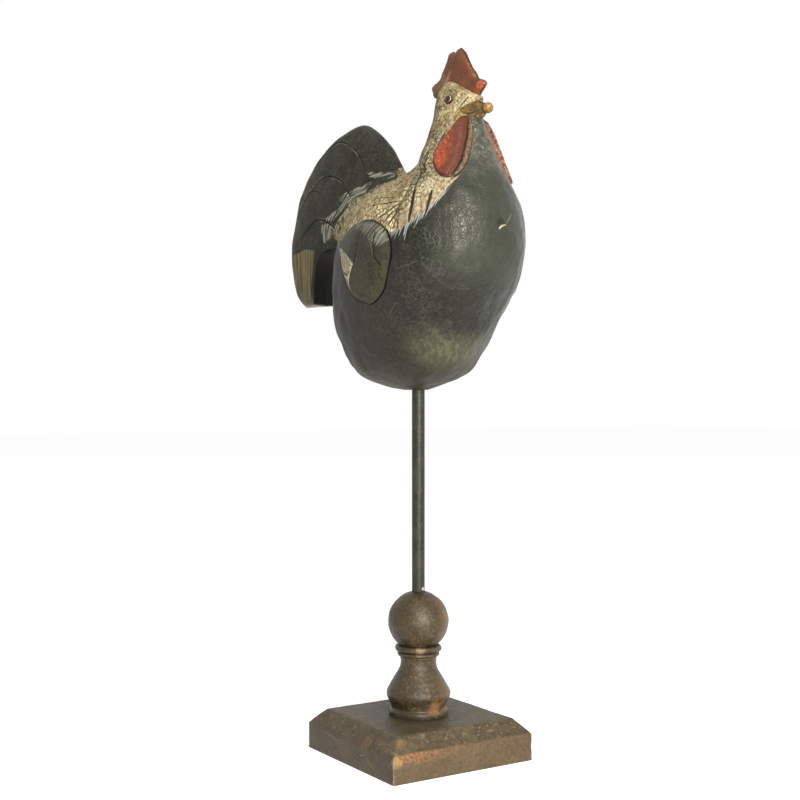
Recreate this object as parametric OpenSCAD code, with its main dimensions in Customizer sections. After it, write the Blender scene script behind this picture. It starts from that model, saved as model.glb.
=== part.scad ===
// Carved wooden rooster on a steel rod, on a turned post and a square plinth
// Lengths in millimetres, Z up, origin at the middle of the plinth's underside
// The figure faces -Y, and figure_turn turns it on its rod

/* [Plinth] */
// Side of the square plinth
plinth_side = 120; // [90:1:180]
// Height of the plinth
plinth_h = 30; // [24:0.5:50]
// Width of the sloping chamfer round the plinth's top
chamfer_w = 10.7; // [3:0.1:15]

/* [Turned post] */
// Height of the post from the plinth to the top of the ball
post_h = 90.5; // [80:0.5:120]
// Radius of the foot ring
foot_r = 21.5; // [18:0.1:30]
// Radius of the vase at its widest
vase_r = 23.6; // [18:0.1:32]
// Radius of the post's narrow neck
waist_r = 13.2; // [10:0.1:17]
// Radius of the collar under the ball
collar_r = 17.2; // [14:0.1:22]
// Radius of the ball
ball_r = 22.3; // [18:0.1:28]
// Radius of the tenon that goes down into the plinth
tenon_r = 9; // [6:0.1:12]
// Length of that tenon
tenon_h = 14; // [8:0.5:16]

/* [Post screw] */
// Radius of the screw's plain shank
shank_r = 2.2; // [1.6:0.1:3]
// Radius over the screw's thread
thread_r = 2.1; // [1.5:0.1:2.8]
// Radius of the countersunk head
screw_head_r = 4.6; // [3.6:0.1:6]
// Length of the screw over all
screw_l = 45; // [36:0.5:50]

/* [Support rod] */
// Radius of the round steel rod
rod_r = 4.75; // [3:0.05:7]
// Length of rod in sight between the ball and the body
rod_gap = 148; // [80:1:220]
// Depth of the socket in the ball
socket_h = 42; // [30:0.5:50]
// Depth of the bore in the body
body_bore_h = 70; // [40:1:90]
// Radial clearance of the rod in both bores
rod_clearance = 0.05; // [0.03:0.01:0.1]

/* [Body] */
// Length from the breast to the rump
body_l = 175; // [150:1:210]
// Width over the flanks
body_w = 120; // [100:1:150]
// Height from the underside to the neck seam
body_h = 157; // [140:1:190]
// Turn of the figure on its rod, from the plinth's own direction
figure_turn = 6.5; // [-180:0.5:180]

/* [Neck and head] */
// Length of the neck at the seam
neck_l = 84; // [74:1:94]
// Width of the neck at the seam
neck_w = 65; // [54:1:72]
// Height from the seam to the crown
head_h = 63.5; // [56:0.5:80]
// Length of the head from back to face
head_l = 38.5; // [34:0.5:44]
// Width of the head
head_w = 27.4; // [23:0.2:32]

/* [Tail] */
// Length of the tail from its front root to its rear rim
tail_l = 145; // [130:1:165]
// Height of the tail from its flat end to its top
tail_h = 138; // [120:0.5:155]
// Thickness of the tail at its root
tail_t = 23; // [16:0.5:28]

/* [Comb] */
// Length of the comb
comb_l = 57.5; // [46:0.5:62]
// Height of the comb from its seat
comb_h = 39; // [32:0.5:48]
// Thickness of the comb
comb_t = 8; // [5:0.2:11]

/* [Beak] */
// Length of the beak from the face to the ball's middle
beak_l = 20; // [15:0.5:28]
// Height of the beak at the face
beak_h = 19; // [14:0.5:21]
// Width of the beak at the face
beak_w = 21; // [14:0.5:23]
// Radius of the ball at the beak's tip
tip_r = 3.8; // [2.5:0.1:5]

/* [Wattles] */
// Height of a wattle
wattle_h = 45.3; // [36:0.1:50]
// Width of a wattle
wattle_w = 26.2; // [20:0.1:29]
// How far a wattle stands proud of the neck
wattle_proud = 4; // [2:0.1:6]

/* [Wings] */
// Length of a wing panel
wing_l = 75; // [60:0.5:82]
// Height of a wing panel
wing_h = 59; // [46:0.5:68]
// How far a wing panel stands proud of the flank
wing_proud = 2.2; // [1:0.1:5]

/* [Eyes] */
// Radius of an eye bead
eye_r = 3.3; // [2:0.1:5]
// How far a bead stands out of the head
eye_proud = 1.6; // [0.8:0.1:2]

/* [Hidden] */

// One overrun for every cut
over = 1;
// Glue line between pieces that are let into each other
glue_gap = 0.2;
// Facets of the round pieces
round_fn = 64;

// Screw: recess and taper of the head, pitch, depth and length of the thread, point, cross slot
head_recess = 1;
head_taper_h = 3.2;
thread_pitch = 2;
thread_depth = 0.6;
thread_h = 26;
screw_tip_h = 4;
drive_slot_l = 5.4;
drive_slot_w = 1.1;
drive_slot_h = 1.4;

// Post: its top, the ball's middle and the sizes of its mouldings
post_top = plinth_h + post_h;
ball_z = post_top - ball_r;
foot_groove = 1.6;
collar_bead_r = 2.6;
lower_bead_r = 1.7;
// Vase of the post: heights of the points of its curve, as shares of its own height
vase_height_shares = [0, 0.07, 0.13, 0.36, 0.55, 0.80, 0.93, 1];
// Points up the vase, round a bead and round the ball, and the angle where the ball meets the collar
vase_n = 30;
bead_n = 8;
ball_n = 24;
ball_foot_angle = -42;
bead_open_angle = 60;

// Rod: its floor in the ball, its top in the body
socket_z = post_top - socket_h;
figure_z = post_top + rod_gap;
rod_top_z = figure_z + body_bore_h - glue_gap;

// Dowels: radius and length, then the tail dowels' places along and up the tail and how far they reach
neck_dowel_r = 5;
neck_dowel_h = 40;
tail_dowel_r = 3;
tail_dowel_h = 30;
tail_dowel_share = 0.4;
tail_dowel_place_shares = [0.70, 0.83];
tail_dowel_root_share = 0.5;

// Body sections from the underside up: height share, then breast, rump and middle as shares of body_l,
// half width as a share of half body_w, then how far the section narrows to the rear and to the front
body_section_shares = [
    [0,     0.040, 0.072, -0.017, 0.140, 0,    0],
    [0.017, 0.068, 0.165, -0.023, 0.300, 0,    0],
    [0.048, 0.160, 0.258, -0.023, 0.495, 0,    0],
    [0.093, 0.225, 0.314, -0.011, 0.645, 0,    0],
    [0.188, 0.292, 0.380, 0.011,  0.780, 0,    0],
    [0.328, 0.364, 0.444, 0.046,  0.898, 0,    0],
    [0.488, 0.466, 0.442, 0.091,  0.978, 0,    0],
    [0.609, 0.505, 0.455, 0.114,  0.995, 0.12, 0],
    [0.704, 0.512, 0.472, 0.137,  0.970, 0.25, 0],
    [0.793, 0.501, 0.475, 0.166,  0.900, 0.34, 0],
    [0.863, 0.485, 0.455, 0.189,  0.806, 0.40, 0],
    [0.928, 0.467, 0.400, 0.235,  0.640, 0.55, 0.03],
    [0.972, 0.457, 0.255, 0.260,  0.530, 0.60, 0.08]];
seam_taper_share = 0.50;
seam_throat_share = 0.12;
// Middle of the neck at the seam, and its front and back as shares of neck_l
neck_y = 41;
neck_front_share = 0.430;
neck_back_share = 0.360;
// Neck sections: height share, then how much of the seam's front, back, width and throat is left
neck_blend_shares = [
    [0.070, 0.90, 0.50, 0.86, 1],
    [0.165, 0.78, 0.36, 0.72, 1],
    [0.320, 0.55, 0.22, 0.44, 1],
    [0.480, 0.28, 0.07, 0.18, 0.9]];
// Head sections: height share, then front, back and middle as shares of half head_l, half width share,
// and how far the section narrows to the front
head_y = 43;
head_section_shares = [
    [0.620, 1.03,  1,    -0.080, 1,    0.05],
    [0.735, 1.27,  0.94, -0.080, 0.93, 0.05],
    [0.800, 1.05,  0.90, -0.090, 0.88, 0],
    [0.880, 0.60,  0.84, -0.135, 0.73, 0],
    [0.953, 0.19,  0.68, -0.243, 0.46, 0],
    [1,    -0.12,  0.44, -0.285, 0.17, 0]];
// Points round a section, and steps between two sections
ring_n = 40;
ring_steps = 2;

// Tail outline from the front corner of its flat end: shares of tail_l and tail_h, and its rim's thinning
tail_outline_shares = [
    [0.272, 0,     0],    [0.097, 0,     1],    [0.062, 0.037, 1],    [0.038, 0.088, 1],
    [0.017, 0.147, 1],    [0.003, 0.220, 1],    [0,     0.293, 1],    [0.007, 0.366, 1],
    [0.024, 0.443, 1],    [0.045, 0.527, 1],    [0.072, 0.608, 1],    [0.110, 0.689, 1],
    [0.159, 0.762, 1],    [0.224, 0.832, 1],    [0.300, 0.894, 1],    [0.397, 0.949, 1],
    [0.493, 0.982, 1],    [0.590, 1,     1],    [0.659, 0.989, 1],    [0.728, 0.949, 1],
    [0.790, 0.901, 1],    [0.845, 0.846, 1],    [0.886, 0.795, 1],    [0.928, 0.740, 1],
    [0.962, 0.685, 0.9],  [0.993, 0.637, 0.4],  [1,     0.593, 0],    [0.962, 0.549, 0],
    [0.728, 0.476, 0],    [0.645, 0.410, 0],    [0.590, 0.315, 0],    [0.479, 0.311, 0],
    [0.410, 0.311, 0],    [0.355, 0.300, 0],    [0.314, 0.271, 0],    [0.286, 0.220, 0],
    [0.276, 0.147, 0]];
tail_centre_shares = [0.200, 0.440];
// From the middle of the tail to its rim: place share, and half thickness share
tail_rim_shares = [[0.4, 1], [0.65, 0.95], [0.85, 0.78], [0.95, 0.55], [1, 0.28]];
// Front root of the tail behind the rod, and how far its flat end lies under the neck seam
tail_front_y = -10.5;
tail_end_drop = 88.9;

// Comb outline from its front foot, as shares of comb_l and comb_h, and its rim's thinning
comb_outline_shares = [
    [0.807, 0.038, 1],  [0.110, 0.180, 1],  [0.018, 0.308, 1],  [0,     0.410, 1],
    [0.064, 0.474, 1],  [0.165, 0.513, 1],  [0.211, 0.641, 1],  [0.266, 0.731, 1],
    [0.312, 0.859, 1],  [0.339, 0.949, 1],  [0.394, 0.974, 1],  [0.450, 0.936, 1],
    [0.495, 0.987, 1],  [0.541, 1,     1],  [0.578, 0.962, 1],  [0.606, 0.910, 1],
    [0.661, 0.795, 1],  [0.734, 0.615, 1],  [0.807, 0.487, 1],  [0.853, 0.372, 1],
    [0.899, 0.333, 1],  [0.963, 0.295, 1],  [1,     0.238, 1],  [0.963, 0.167, 1],
    [0.899, 0.090, 1]];
comb_centre_shares = [0.51, 0.41];
comb_rim_shares = [[0.78, 1], [0.93, 0.82], [1, 0.35]];
// Back of the comb ahead of the rod, and its seat under the crown
comb_back_y = 16.4;
comb_seat_h = 17;

// Beak sections from the face: place share of beak_l, half width share, then shares of beak_h above and
// below the mouth line, and how much of its rise to the tip is done
beak_section_shares = [
    [-0.12, 0.92, 0.62, 0.24, 0],
    [0,     1,    0.64, 0.26, 0],
    [0.18,  0.88, 0.60, 0.27, 0.1],
    [0.40,  0.68, 0.52, 0.27, 0.3],
    [0.60,  0.50, 0.42, 0.25, 0.55],
    [0.80,  0.30, 0.26, 0.19, 0.8],
    [0.97,  0.16, 0.12, 0.11, 1]];
beak_n = 24;
mouth_rise = 3.4;
beak_peg_r = 2.5;
beak_peg_h = 12;
// Mouth line under the crown, and how far the face is cut back for the beak
beak_drop = 28.7;
face_cut = 7.2;

// Wattle outline from its low back corner, as shares of wattle_w and wattle_h
wattle_outline_shares = [
    [0.600, 0.955], [0.735, 1],     [0.890, 0.975], [0.990, 0.800], [0.995, 0.583], [0.945, 0.351],
    [0.840, 0.148], [0.653, 0.024], [0.450, 0.002], [0.229, 0.040], [0.038, 0.203], [0.004, 0.397],
    [0.145, 0.574], [0.370, 0.766]];
wattle_centre_shares = [0.52, 0.40];
// Direction that a wattle faces, forward of sideways, and the place of its top
wattle_yaw = 38;
wattle_back_u = -10;
wattle_drop = 29.7;
wattle_let_in = 2.2;
wattle_rim_shares = [[0.55, 1], [0.8, 0.92], [0.94, 0.72], [1, 0.4]];

// Wing outline from its low back corner, as shares of wing_l and wing_h
wing_outline_shares = [
    [0.070, 0.860], [0.280, 0.955], [0.600, 1],     [0.790, 0.942], [0.930, 0.847], [0.985, 0.724],
    [1,     0.583], [0.950, 0.354], [0.860, 0.131], [0.710, 0.002], [0.620, 0.005], [0.410, 0.107],
    [0.250, 0.364], [0.120, 0.615], [0,     0.790]];
wing_centre_shares = [0.57, 0.52];
wing_back_y = -36;
wing_low_share = 0.385;
wing_let_in = 2.5;
wing_rim_shares = [[0.5, 1], [0.8, 1], [0.93, 0.85], [1, 0.45]];
// Points added between two outline points
outline_steps = 3;

// Eye: its place ahead of the rod and under the crown, the way it faces, its peg and its seat's depth
eye_y = 45;
eye_drop = 16;
eye_yaw = 14;
eye_peg_r = 1.4;
eye_peg_h = 6;
eye_seat_h = 0.9;
// Halvings in the search for the surface
search_steps = 16;

// A point of the figure, from how far it is to its right, ahead and up
function at(right, ahead, up) = [-right, -ahead, up];

// Smooth curve through a table whose first column rises, read at x in column c
function span(t, x, i = 0) = i >= len(t) - 2 || x < t[i + 1][0] ? i : span(t, x, i + 1);
function slope(t, c, k) =
    let (a = max(k - 1, 0), b = min(k + 1, len(t) - 1))
    (t[b][c] - t[a][c]) / (t[b][0] - t[a][0]);
function smooth(t, c, x) =
    let (i = span(t, x), h = t[i + 1][0] - t[i][0], s = (x - t[i][0]) / h)
    (2 * s^3 - 3 * s^2 + 1) * t[i][c] + (s^3 - 2 * s^2 + s) * h * slope(t, c, i)
    + (3 * s^2 - 2 * s^3) * t[i + 1][c] + (s^3 - s^2) * h * slope(t, c, i + 1);

// Smooth closed outline with n points for each one given
function bend(a, b, c, d, s) =
    b + (c - a) * s / 2 + (2 * a - 5 * b + 4 * c - d) * s^2 / 2 + (3 * b - a - 3 * c + d) * s^3 / 2;
function rounded_outline(p, n) =
    let (m = len(p))
    [for (i = [0:m - 1]) for (k = [0:n - 1])
        bend(p[(i + m - 1) % m], p[i], p[(i + 1) % m], p[(i + 2) % m], k / n)];

// Sections of the whole figure: height, front, back, middle, half width, narrowing to rear and front
neck_front = neck_y + neck_front_share * neck_l;
neck_back = neck_y - neck_back_share * neck_l;
crown_z = body_h + head_h;
head_rows = [for (s = head_section_shares)
    [body_h + s[0] * head_h, head_y + s[1] * head_l / 2, head_y - s[2] * head_l / 2,
     head_y + s[3] * head_l / 2, s[4] * head_w / 2, 0, s[5]]];
function blend_to(a, b, share) = b + (a - b) * share;
figure_rows = concat(
    [for (s = body_section_shares)
        [s[0] * body_h, s[1] * body_l, -s[2] * body_l, s[3] * body_l, s[4] * body_w / 2, s[5], s[6]]],
    [[body_h, neck_front, neck_back, neck_y, neck_w / 2, seam_taper_share, seam_throat_share]],
    [for (s = neck_blend_shares)
        [body_h + s[0] * head_h, blend_to(neck_front, head_rows[0][1], s[1]),
         blend_to(neck_back, head_rows[0][2], s[2]), blend_to(neck_y, head_rows[0][3], s[1]),
         blend_to(neck_w / 2, head_rows[0][4], s[3]), seam_taper_share * s[2],
         blend_to(seam_throat_share, head_rows[0][6], s[4])]],
    head_rows);
seam_row = len(body_section_shares);

// The section at height z, and a ring of points round it
function section(z) = [for (c = [1:6]) smooth(figure_rows, c, z)];
function figure_ring(z) =
    let (v = section(z))
    [for (k = [0:ring_n - 1])
        let (a = -360 * k / ring_n, ahead = cos(a))
        at(v[3] * sin(a) * (1 - (ahead < 0 ? v[4] : v[5]) * ahead^2),
           v[2] + ahead * (ahead > 0 ? v[0] - v[2] : v[2] - v[1]), z)];

// Half width of the figure at a place ahead of the rod and a height, or below zero outside it
function half_width(ahead, z) =
    let (v = section(z),
         u = ahead > v[2] ? (ahead - v[2]) / (v[0] - v[2]) : (v[2] - ahead) / (v[2] - v[1]))
    u >= 1 ? -over : v[3] * sqrt(1 - u^2) * (1 - (ahead < v[2] ? v[4] : v[5]) * u^2);

// Distance from the middle plane out to the surface, along a level line that faces yaw forward of sideways
function reach(u, z, yaw, mid, low = 0, high = body_w, n = search_steps) =
    let (t = (low + high) / 2, right = t * cos(yaw) - u * sin(yaw),
         inside = abs(right) < half_width(mid + u * cos(yaw) + t * sin(yaw), z))
    n == 0 ? t : reach(u, z, yaw, mid, inside ? t : low, inside ? high : t, n - 1);

// Solid through a list of rings, closed at both ends by a flat face
module skin(rings) {
    m = len(rings[0]);
    n = len(rings);
    polyhedron(
        points = [for (r = rings) for (p = r) p],
        faces = concat(
            [[for (k = [0:m - 1]) k]],
            [for (i = [0:n - 2]) for (k = [0:m - 1])
                let (j = (k + 1) % m)
                each [[i * m + k, (i + 1) * m + k, (i + 1) * m + j],
                      [i * m + k, (i + 1) * m + j, i * m + j]]],
            [[for (k = [m - 1:-1:0]) (n - 1) * m + k]]));
}

// Heights of the rings from one row of the figure's sections to another
function ring_heights(first, last) = concat(
    [for (i = [first:last - 1]) for (k = [0:ring_steps - 1])
        figure_rows[i][0] + (figure_rows[i + 1][0] - figure_rows[i][0]) * k / ring_steps],
    [figure_rows[last][0]]);

// Upright slab in the figure's middle plane, dished from its middle to a thinner rim
function slab_ring(p, c, place, half_t, rim_share) =
    [for (q = p)
        at(half_t * (1 - q[2] * (1 - rim_share)),
           c[0] + place * (q[0] - c[0]), c[1] + place * (q[1] - c[1]))];
module dished_slab(p, c, t, rim_shares) {
    m = len(p);
    n = len(rim_shares);
    right = [for (s = rim_shares) each slab_ring(p, c, s[0], t / 2, s[1])];
    left = [for (s = rim_shares) each slab_ring(p, c, s[0], -t / 2, s[1])];
    flank = n * m;
    right_middle = 2 * flank;
    left_middle = right_middle + 1;
    polyhedron(
        points = concat(right, left, [at(t / 2, c[0], c[1]), at(-t / 2, c[0], c[1])]),
        faces = concat(
            [for (k = [0:m - 1])
                let (j = (k + 1) % m)
                each [[right_middle, k, j], [left_middle, flank + j, flank + k]]],
            [for (i = [0:n - 2]) for (k = [0:m - 1])
                let (j = (k + 1) % m, a = i * m, b = a + m)
                each [[a + k, b + k, b + j], [a + k, b + j, a + j],
                      [flank + a + k, flank + b + j, flank + b + k],
                      [flank + a + k, flank + a + j, flank + b + j]]],
            [for (k = [0:m - 1])
                let (j = (k + 1) % m, a = (n - 1) * m)
                each [[a + k, flank + a + k, flank + a + j], [a + k, flank + a + j, a + j]]]));
}
// Slot for such a slab, wider and longer by the glue line
module slab_slot(p, c, t) {
    size = max([for (q = p) norm([q[0] - c[0], q[1] - c[1]])]);
    grow = 1 + glue_gap / size;
    rotate([90, 0, -90])
        linear_extrude(t + 2 * glue_gap, center = true)
            polygon([for (q = p) [c[0] + grow * (q[0] - c[0]), c[1] + grow * (q[1] - c[1])]]);
}

// Panel let into the figure's side: flat back, front that follows the carved surface
// A panel is [outline, centre, yaw, middle]; its back is [offset, slope along, slope up]
function panel_back(w, let_in) =
    let (p = w[0], c = w[1],
         u0 = min([for (q = p) q[0]]), u1 = max([for (q = p) q[0]]),
         z0 = min([for (q = p) q[1]]), z1 = max([for (q = p) q[1]]),
         along = (reach(u1, c[1], w[2], w[3]) - reach(u0, c[1], w[2], w[3])) / (u1 - u0),
         up = (reach(c[0], z1, w[2], w[3]) - reach(c[0], z0, w[2], w[3])) / (z1 - z0))
    [min([for (q = p) reach(q[0], q[1], w[2], w[3]) - along * (q[0] - c[0]) - up * (q[1] - c[1])])
     - let_in, along, up];
function panel_point(w, u, z, t) =
    at(t * cos(w[2]) - u * sin(w[2]), w[3] + u * cos(w[2]) + t * sin(w[2]), z);
function back_point(w, b, q) =
    panel_point(w, q[0], q[1], b[0] + b[1] * (q[0] - w[1][0]) + b[2] * (q[1] - w[1][1]));
function toward(w, q, share) = w[1] + share * (q - w[1]);
module panel(w, let_in, proud, rim_shares) {
    b = panel_back(w, let_in);
    fronts = [for (s = rim_shares)
        [for (q = w[0])
            let (e = toward(w, q, s[0]))
            panel_point(w, e[0], e[1], reach(e[0], e[1], w[2], w[3]) + proud * s[1])]];
    middle = panel_point(w, w[1][0], w[1][1], reach(w[1][0], w[1][1], w[2], w[3]) + proud);
    m = len(w[0]);
    n = len(rim_shares);
    polyhedron(
        points = concat([middle], [for (r = fronts) each r], [for (q = w[0]) back_point(w, b, q)]),
        faces = concat(
            [for (k = [0:m - 1]) [0, 1 + k, 1 + (k + 1) % m]],
            [for (i = [0:n - 1]) for (k = [0:m - 1])
                let (j = (k + 1) % m, a = 1 + i * m, c = a + m)
                each [[a + k, c + k, c + j], [a + k, c + j, a + j]]],
            [[for (k = [m - 1:-1:0]) 1 + n * m + k]]));
}
// Pocket for such a panel, wider by the glue line and open to the outside
module pocket(w, let_in) {
    b = panel_back(w, let_in);
    size = max([for (q = w[0]) norm(q - w[1])]);
    p = [for (q = w[0]) toward(w, q, 1 + glue_gap / size)];
    skin([[for (q = p) panel_point(w, q[0], q[1], body_w)], [for (q = p) back_point(w, b, q)]]);
}

// The two panels of the right side; the left side is their mirror image
wing = [rounded_outline([for (s = wing_outline_shares)
            [wing_back_y + s[0] * wing_l, wing_low_share * body_h + s[1] * wing_h]], outline_steps),
        [wing_back_y + wing_centre_shares[0] * wing_l,
         wing_low_share * body_h + wing_centre_shares[1] * wing_h], 0, 0];
wattle_low_z = crown_z - wattle_drop - wattle_h;
wattle = [rounded_outline([for (s = wattle_outline_shares)
              [wattle_back_u + s[0] * wattle_w, wattle_low_z + s[1] * wattle_h]], outline_steps),
          [wattle_back_u + wattle_centre_shares[0] * wattle_w,
           wattle_low_z + wattle_centre_shares[1] * wattle_h], wattle_yaw, neck_y];

// The two slabs in the middle plane: places ahead of the rod and up
tail_back_y = tail_front_y - tail_l;
tail_end_z = body_h - tail_end_drop;
tail_outline = [for (s = tail_outline_shares)
    [tail_back_y + s[0] * tail_l, tail_end_z + s[1] * tail_h, s[2]]];
tail_centre = [tail_back_y + tail_centre_shares[0] * tail_l, tail_end_z + tail_centre_shares[1] * tail_h];
comb_low_z = crown_z - comb_seat_h;
comb_outline = [for (s = comb_outline_shares)
    [comb_back_y + s[0] * comb_l, comb_low_z + s[1] * comb_h, s[2]]];
comb_centre = [comb_back_y + comb_centre_shares[0] * comb_l, comb_low_z + comb_centre_shares[1] * comb_h];

// Eye: middle of its flat back on the head's right side
eye_z = crown_z - eye_drop;
eye_t = reach(0, eye_z, eye_yaw, eye_y);
face_y = head_y + head_l / 2 - face_cut;
beak_z = crown_z - beak_drop;

// Puts a piece of the figure in its place on the rod
module on_rod() {
    translate([0, 0, figure_z])
        rotate([0, 0, figure_turn])
            children();
}
module both_sides() {
    children();
    mirror([1, 0, 0]) children();
}
module eye_axis() {
    translate(at(eye_t * cos(eye_yaw), eye_y + eye_t * sin(eye_yaw), eye_z))
        rotate([0, -90, eye_yaw])
            children();
}
module neck_dowel_bar(r, h) {
    translate(at(0, neck_y, body_h - h / 2)) cylinder(h, r = r, $fn = round_fn);
}
module tail_dowel_bars(r, h) {
    root_z = tail_end_z + tail_dowel_root_share * tail_h;
    for (s = tail_dowel_place_shares)
        translate(at(0, tail_back_y + s * tail_l, root_z - h * (1 - tail_dowel_share)))
            cylinder(h, r = r, $fn = round_fn);
}

module plinth() {
    straight_h = plinth_h - chamfer_w;
    color("saddlebrown")
        difference() {
            translate([-plinth_side / 2, -plinth_side / 2, 0]) cube([plinth_side, plinth_side, plinth_h]);
            for (a = [0:90:270])
                rotate([0, 0, a])
                    translate([plinth_side / 2, 0, straight_h])
                        rotate([0, -45, 0])
                            translate([0, -plinth_side, 0])
                                cube([2 * chamfer_w, 2 * plinth_side, 2 * chamfer_w]);
            translate([0, 0, plinth_h - tenon_h - glue_gap])
                cylinder(tenon_h + glue_gap + over, r = tenon_r + glue_gap, $fn = round_fn);
            translate([0, 0, -over]) cylinder(plinth_h, r = shank_r + glue_gap, $fn = round_fn);
            translate([0, 0, -over])
                cylinder(head_recess + over, r = screw_head_r + glue_gap, $fn = round_fn);
            translate([0, 0, head_recess])
                cylinder(head_taper_h, r1 = screw_head_r + glue_gap, r2 = shank_r + glue_gap,
                         $fn = round_fn);
        }
}

// Curve of the post's vase: height share and radius
collar_z = plinth_h + post_h - 2 * ball_r + collar_bead_r;
lower_bead_z = collar_z - collar_bead_r - lower_bead_r;
vase_h = lower_bead_z - lower_bead_r - plinth_h;
vase_radii = [foot_r, foot_r, foot_r - foot_groove, vase_r, (vase_r + waist_r) / 2 + foot_groove,
              waist_r + foot_groove / 2, waist_r, waist_r + foot_groove / 2];
vase_table = [for (i = [0:len(vase_radii) - 1]) [vase_height_shares[i], vase_radii[i]]];
function arc(r, z, size, low, high, n) =
    [for (k = [0:n])
        let (a = low + (high - low) * k / n)
        [r + size * cos(a), z + size * sin(a)]];
module turned_post() {
    pilot_h = head_recess + screw_l + over - (plinth_h - tenon_h);
    color("sienna")
        difference() {
            union() {
                rotate_extrude($fn = round_fn)
                    polygon(concat(
                        [[0, plinth_h]],
                        [for (k = [0:vase_n])
                            [smooth(vase_table, 1, k / vase_n), plinth_h + vase_h * k / vase_n]],
                        arc(collar_r - 2 * lower_bead_r, lower_bead_z, lower_bead_r,
                            -90, bead_open_angle, bead_n),
                        arc(collar_r - collar_bead_r, collar_z, collar_bead_r,
                            -bead_open_angle, 90, bead_n),
                        arc(0, ball_z, ball_r, ball_foot_angle, 90, ball_n)));
                translate([0, 0, plinth_h - tenon_h])
                    cylinder(tenon_h + over, r = tenon_r, $fn = round_fn);
            }
            translate([0, 0, socket_z])
                cylinder(socket_h + over, r = rod_r + rod_clearance, $fn = round_fn);
            translate([0, 0, plinth_h - tenon_h - over])
                cylinder(pilot_h + over, r = thread_r + glue_gap, $fn = round_fn);
        }
}

module post_screw() {
    tip_z = head_recess + screw_l;
    thread_z = tip_z - screw_tip_h - thread_h;
    turns = floor(thread_h / thread_pitch);
    color("silver")
        difference() {
            rotate_extrude($fn = round_fn)
                polygon(concat(
                    [[0, head_recess], [screw_head_r, head_recess], [shank_r, head_recess + head_taper_h],
                     [shank_r, thread_z], [thread_r - thread_depth, thread_z]],
                    [for (k = [0:turns - 1])
                        each [[thread_r, thread_z + (k + 0.5) * thread_pitch],
                              [thread_r - thread_depth, thread_z + (k + 1) * thread_pitch]]],
                    [[0, tip_z]]));
            for (a = [0, 90])
                rotate([0, 0, a])
                    translate([-drive_slot_l / 2, -drive_slot_w / 2, head_recess - over])
                        cube([drive_slot_l, drive_slot_w, drive_slot_h + over]);
        }
}

module support_rod() {
    color("dimgray")
        translate([0, 0, socket_z])
            cylinder(rod_top_z - socket_z, r = rod_r, $fn = round_fn);
}

module body() {
    color("darkslategray")
        on_rod()
            difference() {
                skin([for (z = ring_heights(0, seam_row)) figure_ring(z)]);
                translate([0, 0, -over])
                    cylinder(body_bore_h + over, r = rod_r + rod_clearance, $fn = round_fn);
                slab_slot(tail_outline, tail_centre, tail_t);
                both_sides() pocket(wing, wing_let_in);
                both_sides() pocket(wattle, wattle_let_in);
                neck_dowel_bar(neck_dowel_r + glue_gap, neck_dowel_h + 2 * glue_gap);
                tail_dowel_bars(tail_dowel_r + glue_gap, tail_dowel_h + 2 * glue_gap);
            }
}

module head_neck() {
    color("antiquewhite")
        on_rod()
            difference() {
                skin([for (z = ring_heights(seam_row, len(figure_rows) - 1)) figure_ring(z)]);
                slab_slot(comb_outline, comb_centre, comb_t);
                beak_cone(glue_gap);
                both_sides() pocket(wattle, wattle_let_in);
                both_sides() eye_seat();
                neck_dowel_bar(neck_dowel_r + glue_gap, neck_dowel_h + 2 * glue_gap);
                translate(at(0, face_y - beak_peg_h - glue_gap, beak_z))
                    rotate([90, 0, 0])
                        cylinder(beak_peg_h + head_l, r = beak_peg_r + glue_gap, $fn = round_fn);
            }
}

module neck_dowel() {
    color("burlywood") on_rod() neck_dowel_bar(neck_dowel_r, neck_dowel_h);
}

module tail() {
    color("darkslategray")
        on_rod()
            difference() {
                dished_slab(tail_outline, tail_centre, tail_t, tail_rim_shares);
                tail_dowel_bars(tail_dowel_r + glue_gap, tail_dowel_h + 2 * glue_gap);
            }
}

module tail_dowels() {
    color("burlywood") on_rod() tail_dowel_bars(tail_dowel_r, tail_dowel_h);
}

module comb() {
    color("firebrick") on_rod() dished_slab(comb_outline, comb_centre, comb_t, comb_rim_shares);
}

// The beak's cone, grown sideways, upward and backward for its socket
module beak_cone(grow) {
    skin([for (s = beak_section_shares)
        [for (k = [0:beak_n - 1])
            let (a = 360 * k / beak_n)
            at((s[1] * beak_w / 2 + grow) * sin(a), face_y + s[0] * beak_l - grow,
               beak_z + s[4] * mouth_rise + cos(a) * ((cos(a) > 0 ? s[2] : s[3]) * beak_h + grow))]]);
}

module beak() {
    color("darkgoldenrod")
        on_rod() {
            beak_cone(0);
            translate(at(0, face_y + beak_l, beak_z + mouth_rise)) sphere(tip_r, $fn = round_fn);
            translate(at(0, face_y - beak_peg_h, beak_z))
                rotate([90, 0, 0])
                    cylinder(beak_peg_h + over, r = beak_peg_r, $fn = round_fn);
        }
}

// Wattle of the right side, notched at its top to sit under the beak
module wattle_piece() {
    difference() {
        panel(wattle, wattle_let_in, wattle_proud, wattle_rim_shares);
        beak_cone(glue_gap);
    }
}

module wattle_right() {
    color("orangered") on_rod() wattle_piece();
}

module wattle_left() {
    color("orangered") on_rod() mirror([1, 0, 0]) wattle_piece();
}

// Bead cut from a ball, with a peg behind it
module eye_bead() {
    bead_h = eye_seat_h + eye_proud;
    ball = (eye_r^2 + bead_h^2) / (2 * bead_h);
    eye_axis() {
        intersection() {
            translate([0, 0, eye_proud - ball]) sphere(ball, $fn = round_fn);
            translate([0, 0, -eye_seat_h]) cylinder(bead_h + over, r = eye_r, $fn = round_fn);
        }
        translate([0, 0, -eye_peg_h]) cylinder(eye_peg_h, r = eye_peg_r, $fn = round_fn);
    }
}
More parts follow.
